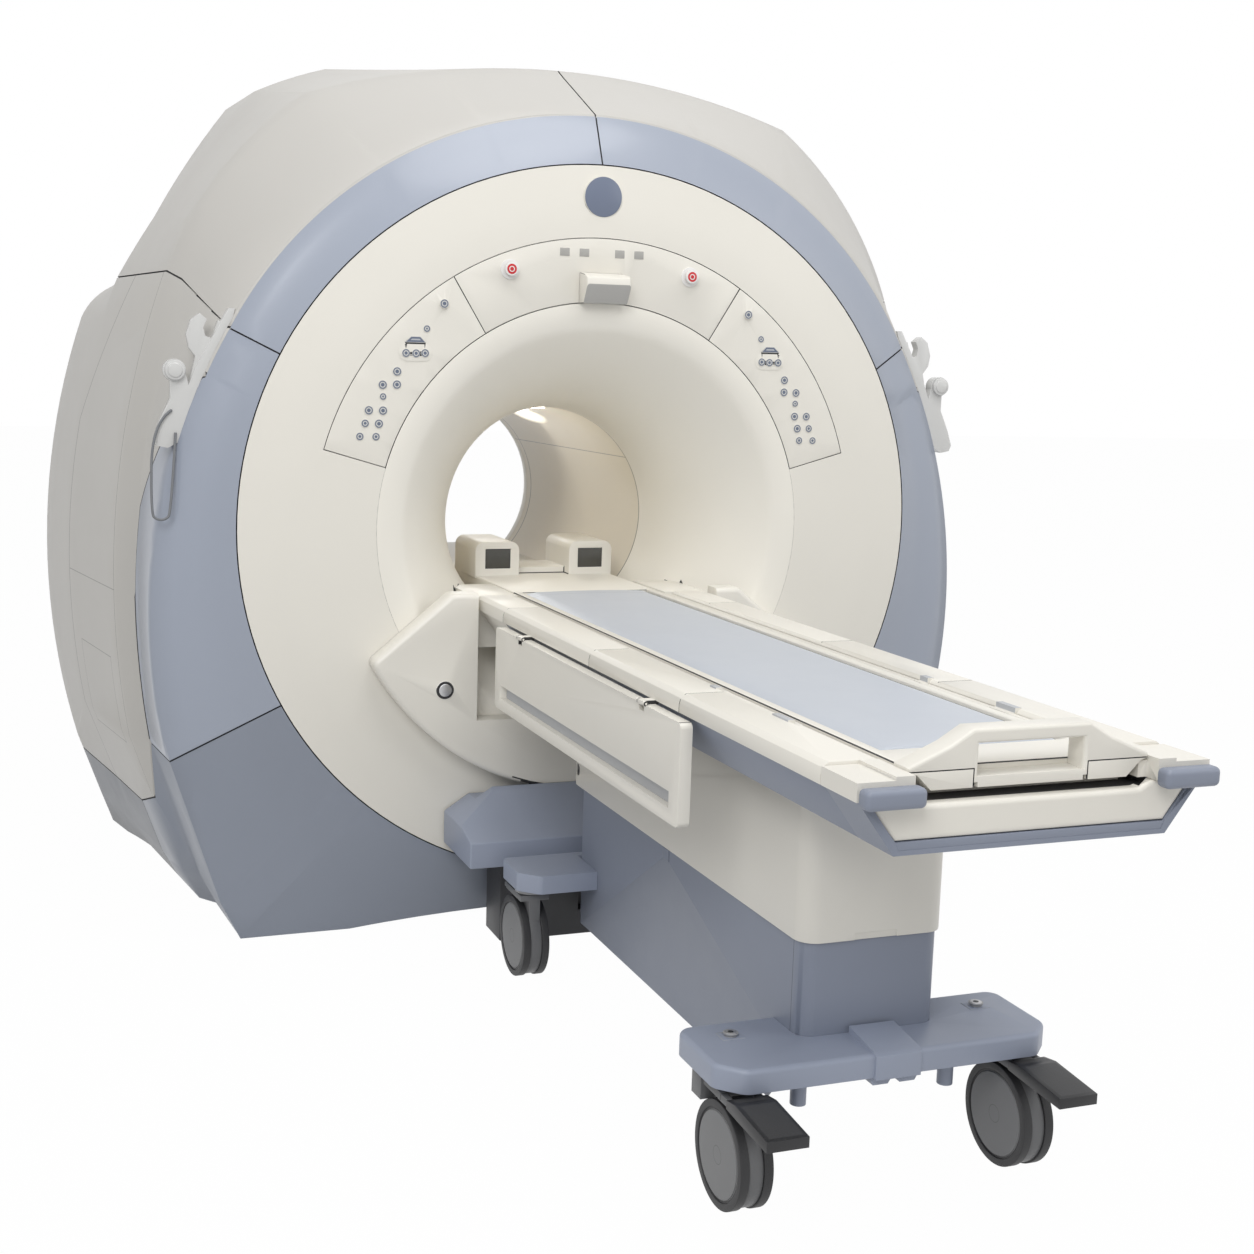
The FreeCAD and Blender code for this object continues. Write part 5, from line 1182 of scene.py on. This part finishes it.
class SCANNER_OT_seam_shade(bpy.types.Operator):
    """Paint shade on the thin faces that look into a gap between two pieces"""
    bl_idname = "scanner.seams"
    bl_label = "Seam shade"

    def execute(self, context):
        pieces = [piece for node, piece in SKINS.items()
                  if not node.startswith(("caster", "brake", "stop", "call", "pedestal",
                                          "end_frame", "foot_frame", "hangers", "base_plates"))]
        around = tree_of(pieces)
        for piece in pieces:
            dark = {face.index for face in piece.data.polygons if self.hidden(face, around)}
            edges = {key for face in piece.data.polygons if face.index in dark
                     for key in face.edge_keys}
            # Painted shade on these faces and on the narrow eased faces next to them.
            repaint(piece, "seam", lambda face: face.index in dark or (
                narrowness(face) < EASED_FACE and any(key in edges for key in face.edge_keys)))
        return {"FINISHED"}

    def hidden(self, face, around):
        """Whether a narrow face has something close in front, or close on both sides."""
        if narrowness(face) > SEAM_FACE:
            return False
        normal = face.normal
        start = face.center + normal * SEAM_START
        hit = around.ray_cast(start, normal, SEAM_DIRECT)[0]
        if hit:
            return True
        along = normal.orthogonal().normalized()
        for turn in range(4):
            side = Matrix.Rotation(math.pi * turn / 4, 3, normal) @ along
            if all(around.ray_cast(start, (normal + side * way).normalized(), SEAM_REACH)[0]
                   for way in (-1, 1)):
                return True
        return False


# --- stage

class SCANNER_OT_stage(bpy.types.Operator):
    """Floor, backdrop, soft lamps and the camera"""
    bl_idname = "scanner.stage"
    bl_label = "Stage"

    def execute(self, context):
        self.floor()
        self.world(context)
        self.lamps(context)
        self.camera(context)
        return {"FINISHED"}

    def floor(self):
        clear_selection()
        bpy.ops.mesh.primitive_plane_add(size=60, location=(0, 0, -0.0005))
        floor = bpy.context.object
        floor.name = "stage_floor"
        material = bpy.data.materials.new("stage_white")
        material.use_nodes = True
        pale = Shading(material.node_tree)
        pale.tree.nodes.clear()
        lit = pale.add("ShaderNodeBsdfDiffuse", None, {"Color": (0.68, 0.68, 0.68)})
        white = pale.add("ShaderNodeEmission", None, {"Strength": 1.0})
        blend = pale.add("ShaderNodeMixShader", None, {
            0: pale.looked_at() * FLOOR_WHITE, 1: lit, 2: white})
        pale.add("ShaderNodeOutputMaterial", None, {0: blend})
        floor.data.materials.append(material)

    def world(self, context):
        world = bpy.data.worlds.new("stage_world")
        context.scene.world = world
        world.use_nodes = True
        air = Shading(world.node_tree)
        air.tree.nodes.clear()
        soft = air.add("ShaderNodeBackground", None, {
            "Color": (1.0, 0.995, 0.985), "Strength": WORLD_LIGHT})
        white = air.add("ShaderNodeBackground", None, {"Color": (1, 1, 1), "Strength": 1.0})
        blend = air.add("ShaderNodeMixShader", None, {0: air.looked_at(), 1: soft, 2: white})
        air.add("ShaderNodeOutputWorld", None, {0: blend})

    def lamps(self, context):
        for name, (place, aim, size, power) in LAMPS.items():
            data = bpy.data.lights.new(f"lamp_{name}", "AREA")
            data.shape = "DISK"
            data.size = size
            data.energy = power
            lamp = bpy.data.objects.new(f"lamp_{name}", data)
            context.scene.collection.objects.link(lamp)
            lamp.location = place
            lamp.visible_camera = False
            lamp.rotation_euler = (Vector(aim) - Vector(place)).to_track_quat(
                "-Z", "Y").to_euler()

    def camera(self, context):
        """The photograph's viewpoint, solved from the bore, the ring and the table's lines."""
        data = bpy.data.cameras.new("camera")
        data.lens = sizes().lens
        data.sensor_width = 36.0
        data.shift_x = 0.0416
        data.clip_end = 100
        camera = bpy.data.objects.new("camera", data)
        context.scene.collection.objects.link(camera)
        yaw, pitch, roll = (math.radians(angle) for angle in CAMERA_TURN)
        forward = Vector((math.sin(yaw) * math.cos(pitch), math.cos(yaw) * math.cos(pitch),
                          -math.sin(pitch)))
        right = Vector((math.cos(yaw), -math.sin(yaw), 0))
        up = right.cross(forward)
        tilted_right = right * math.cos(roll) + up * math.sin(roll)
        tilted_up = up * math.cos(roll) - right * math.sin(roll)
        turn = Matrix((tilted_right, tilted_up, -forward)).transposed().to_4x4()
        camera.matrix_world = Matrix.Translation(CAMERA_PLACE) @ turn
        context.scene.camera = camera
        context.scene.view_settings.view_transform = "Standard"


# --- panel and run

OPERATORS = (SCANNER_OT_finishes, SCANNER_OT_enclosure, SCANNER_OT_bore, SCANNER_OT_console,
             SCANNER_OT_saddle, SCANNER_OT_dock, SCANNER_OT_carriage, SCANNER_OT_hangers,
             SCANNER_OT_table_top, SCANNER_OT_cradle, SCANNER_OT_arm_boards,
             SCANNER_OT_pedestal, SCANNER_OT_casters, SCANNER_OT_seam_shade, SCANNER_OT_stage)


class SCANNER_PT_panel(bpy.types.Panel):
    """Lists the scanner's pieces in the sidebar"""
    bl_idname = "SCANNER_PT_panel"
    bl_label = "Scanner"
    bl_space_type = "VIEW_3D"
    bl_region_type = "UI"
    bl_category = "Scanner"

    def draw(self, context):
        column = self.layout.column()
        for group in (context.scene.scanner_colours, context.scene.scanner_sizes):
            for name in group.__annotations__:
                column.prop(group, name)
        for operator in OPERATORS:
            column.operator(operator.bl_idname)


CLASSES = (ScannerColours, ScannerSizes, *OPERATORS, SCANNER_PT_panel)


def register():
    for item in CLASSES:
        bpy.utils.register_class(item)
    bpy.types.Scene.scanner_colours = bpy.props.PointerProperty(type=ScannerColours)
    bpy.types.Scene.scanner_sizes = bpy.props.PointerProperty(type=ScannerSizes)


def unregister():
    del bpy.types.Scene.scanner_colours
    del bpy.types.Scene.scanner_sizes
    for item in reversed(CLASSES):
        bpy.utils.unregister_class(item)


def main():
    register()
    for operator in OPERATORS:
        group, action = operator.bl_idname.split(".")
        getattr(getattr(bpy.ops, group), action)()
    bpy.context.view_layer.update()


if __name__ == "__main__":
    main()
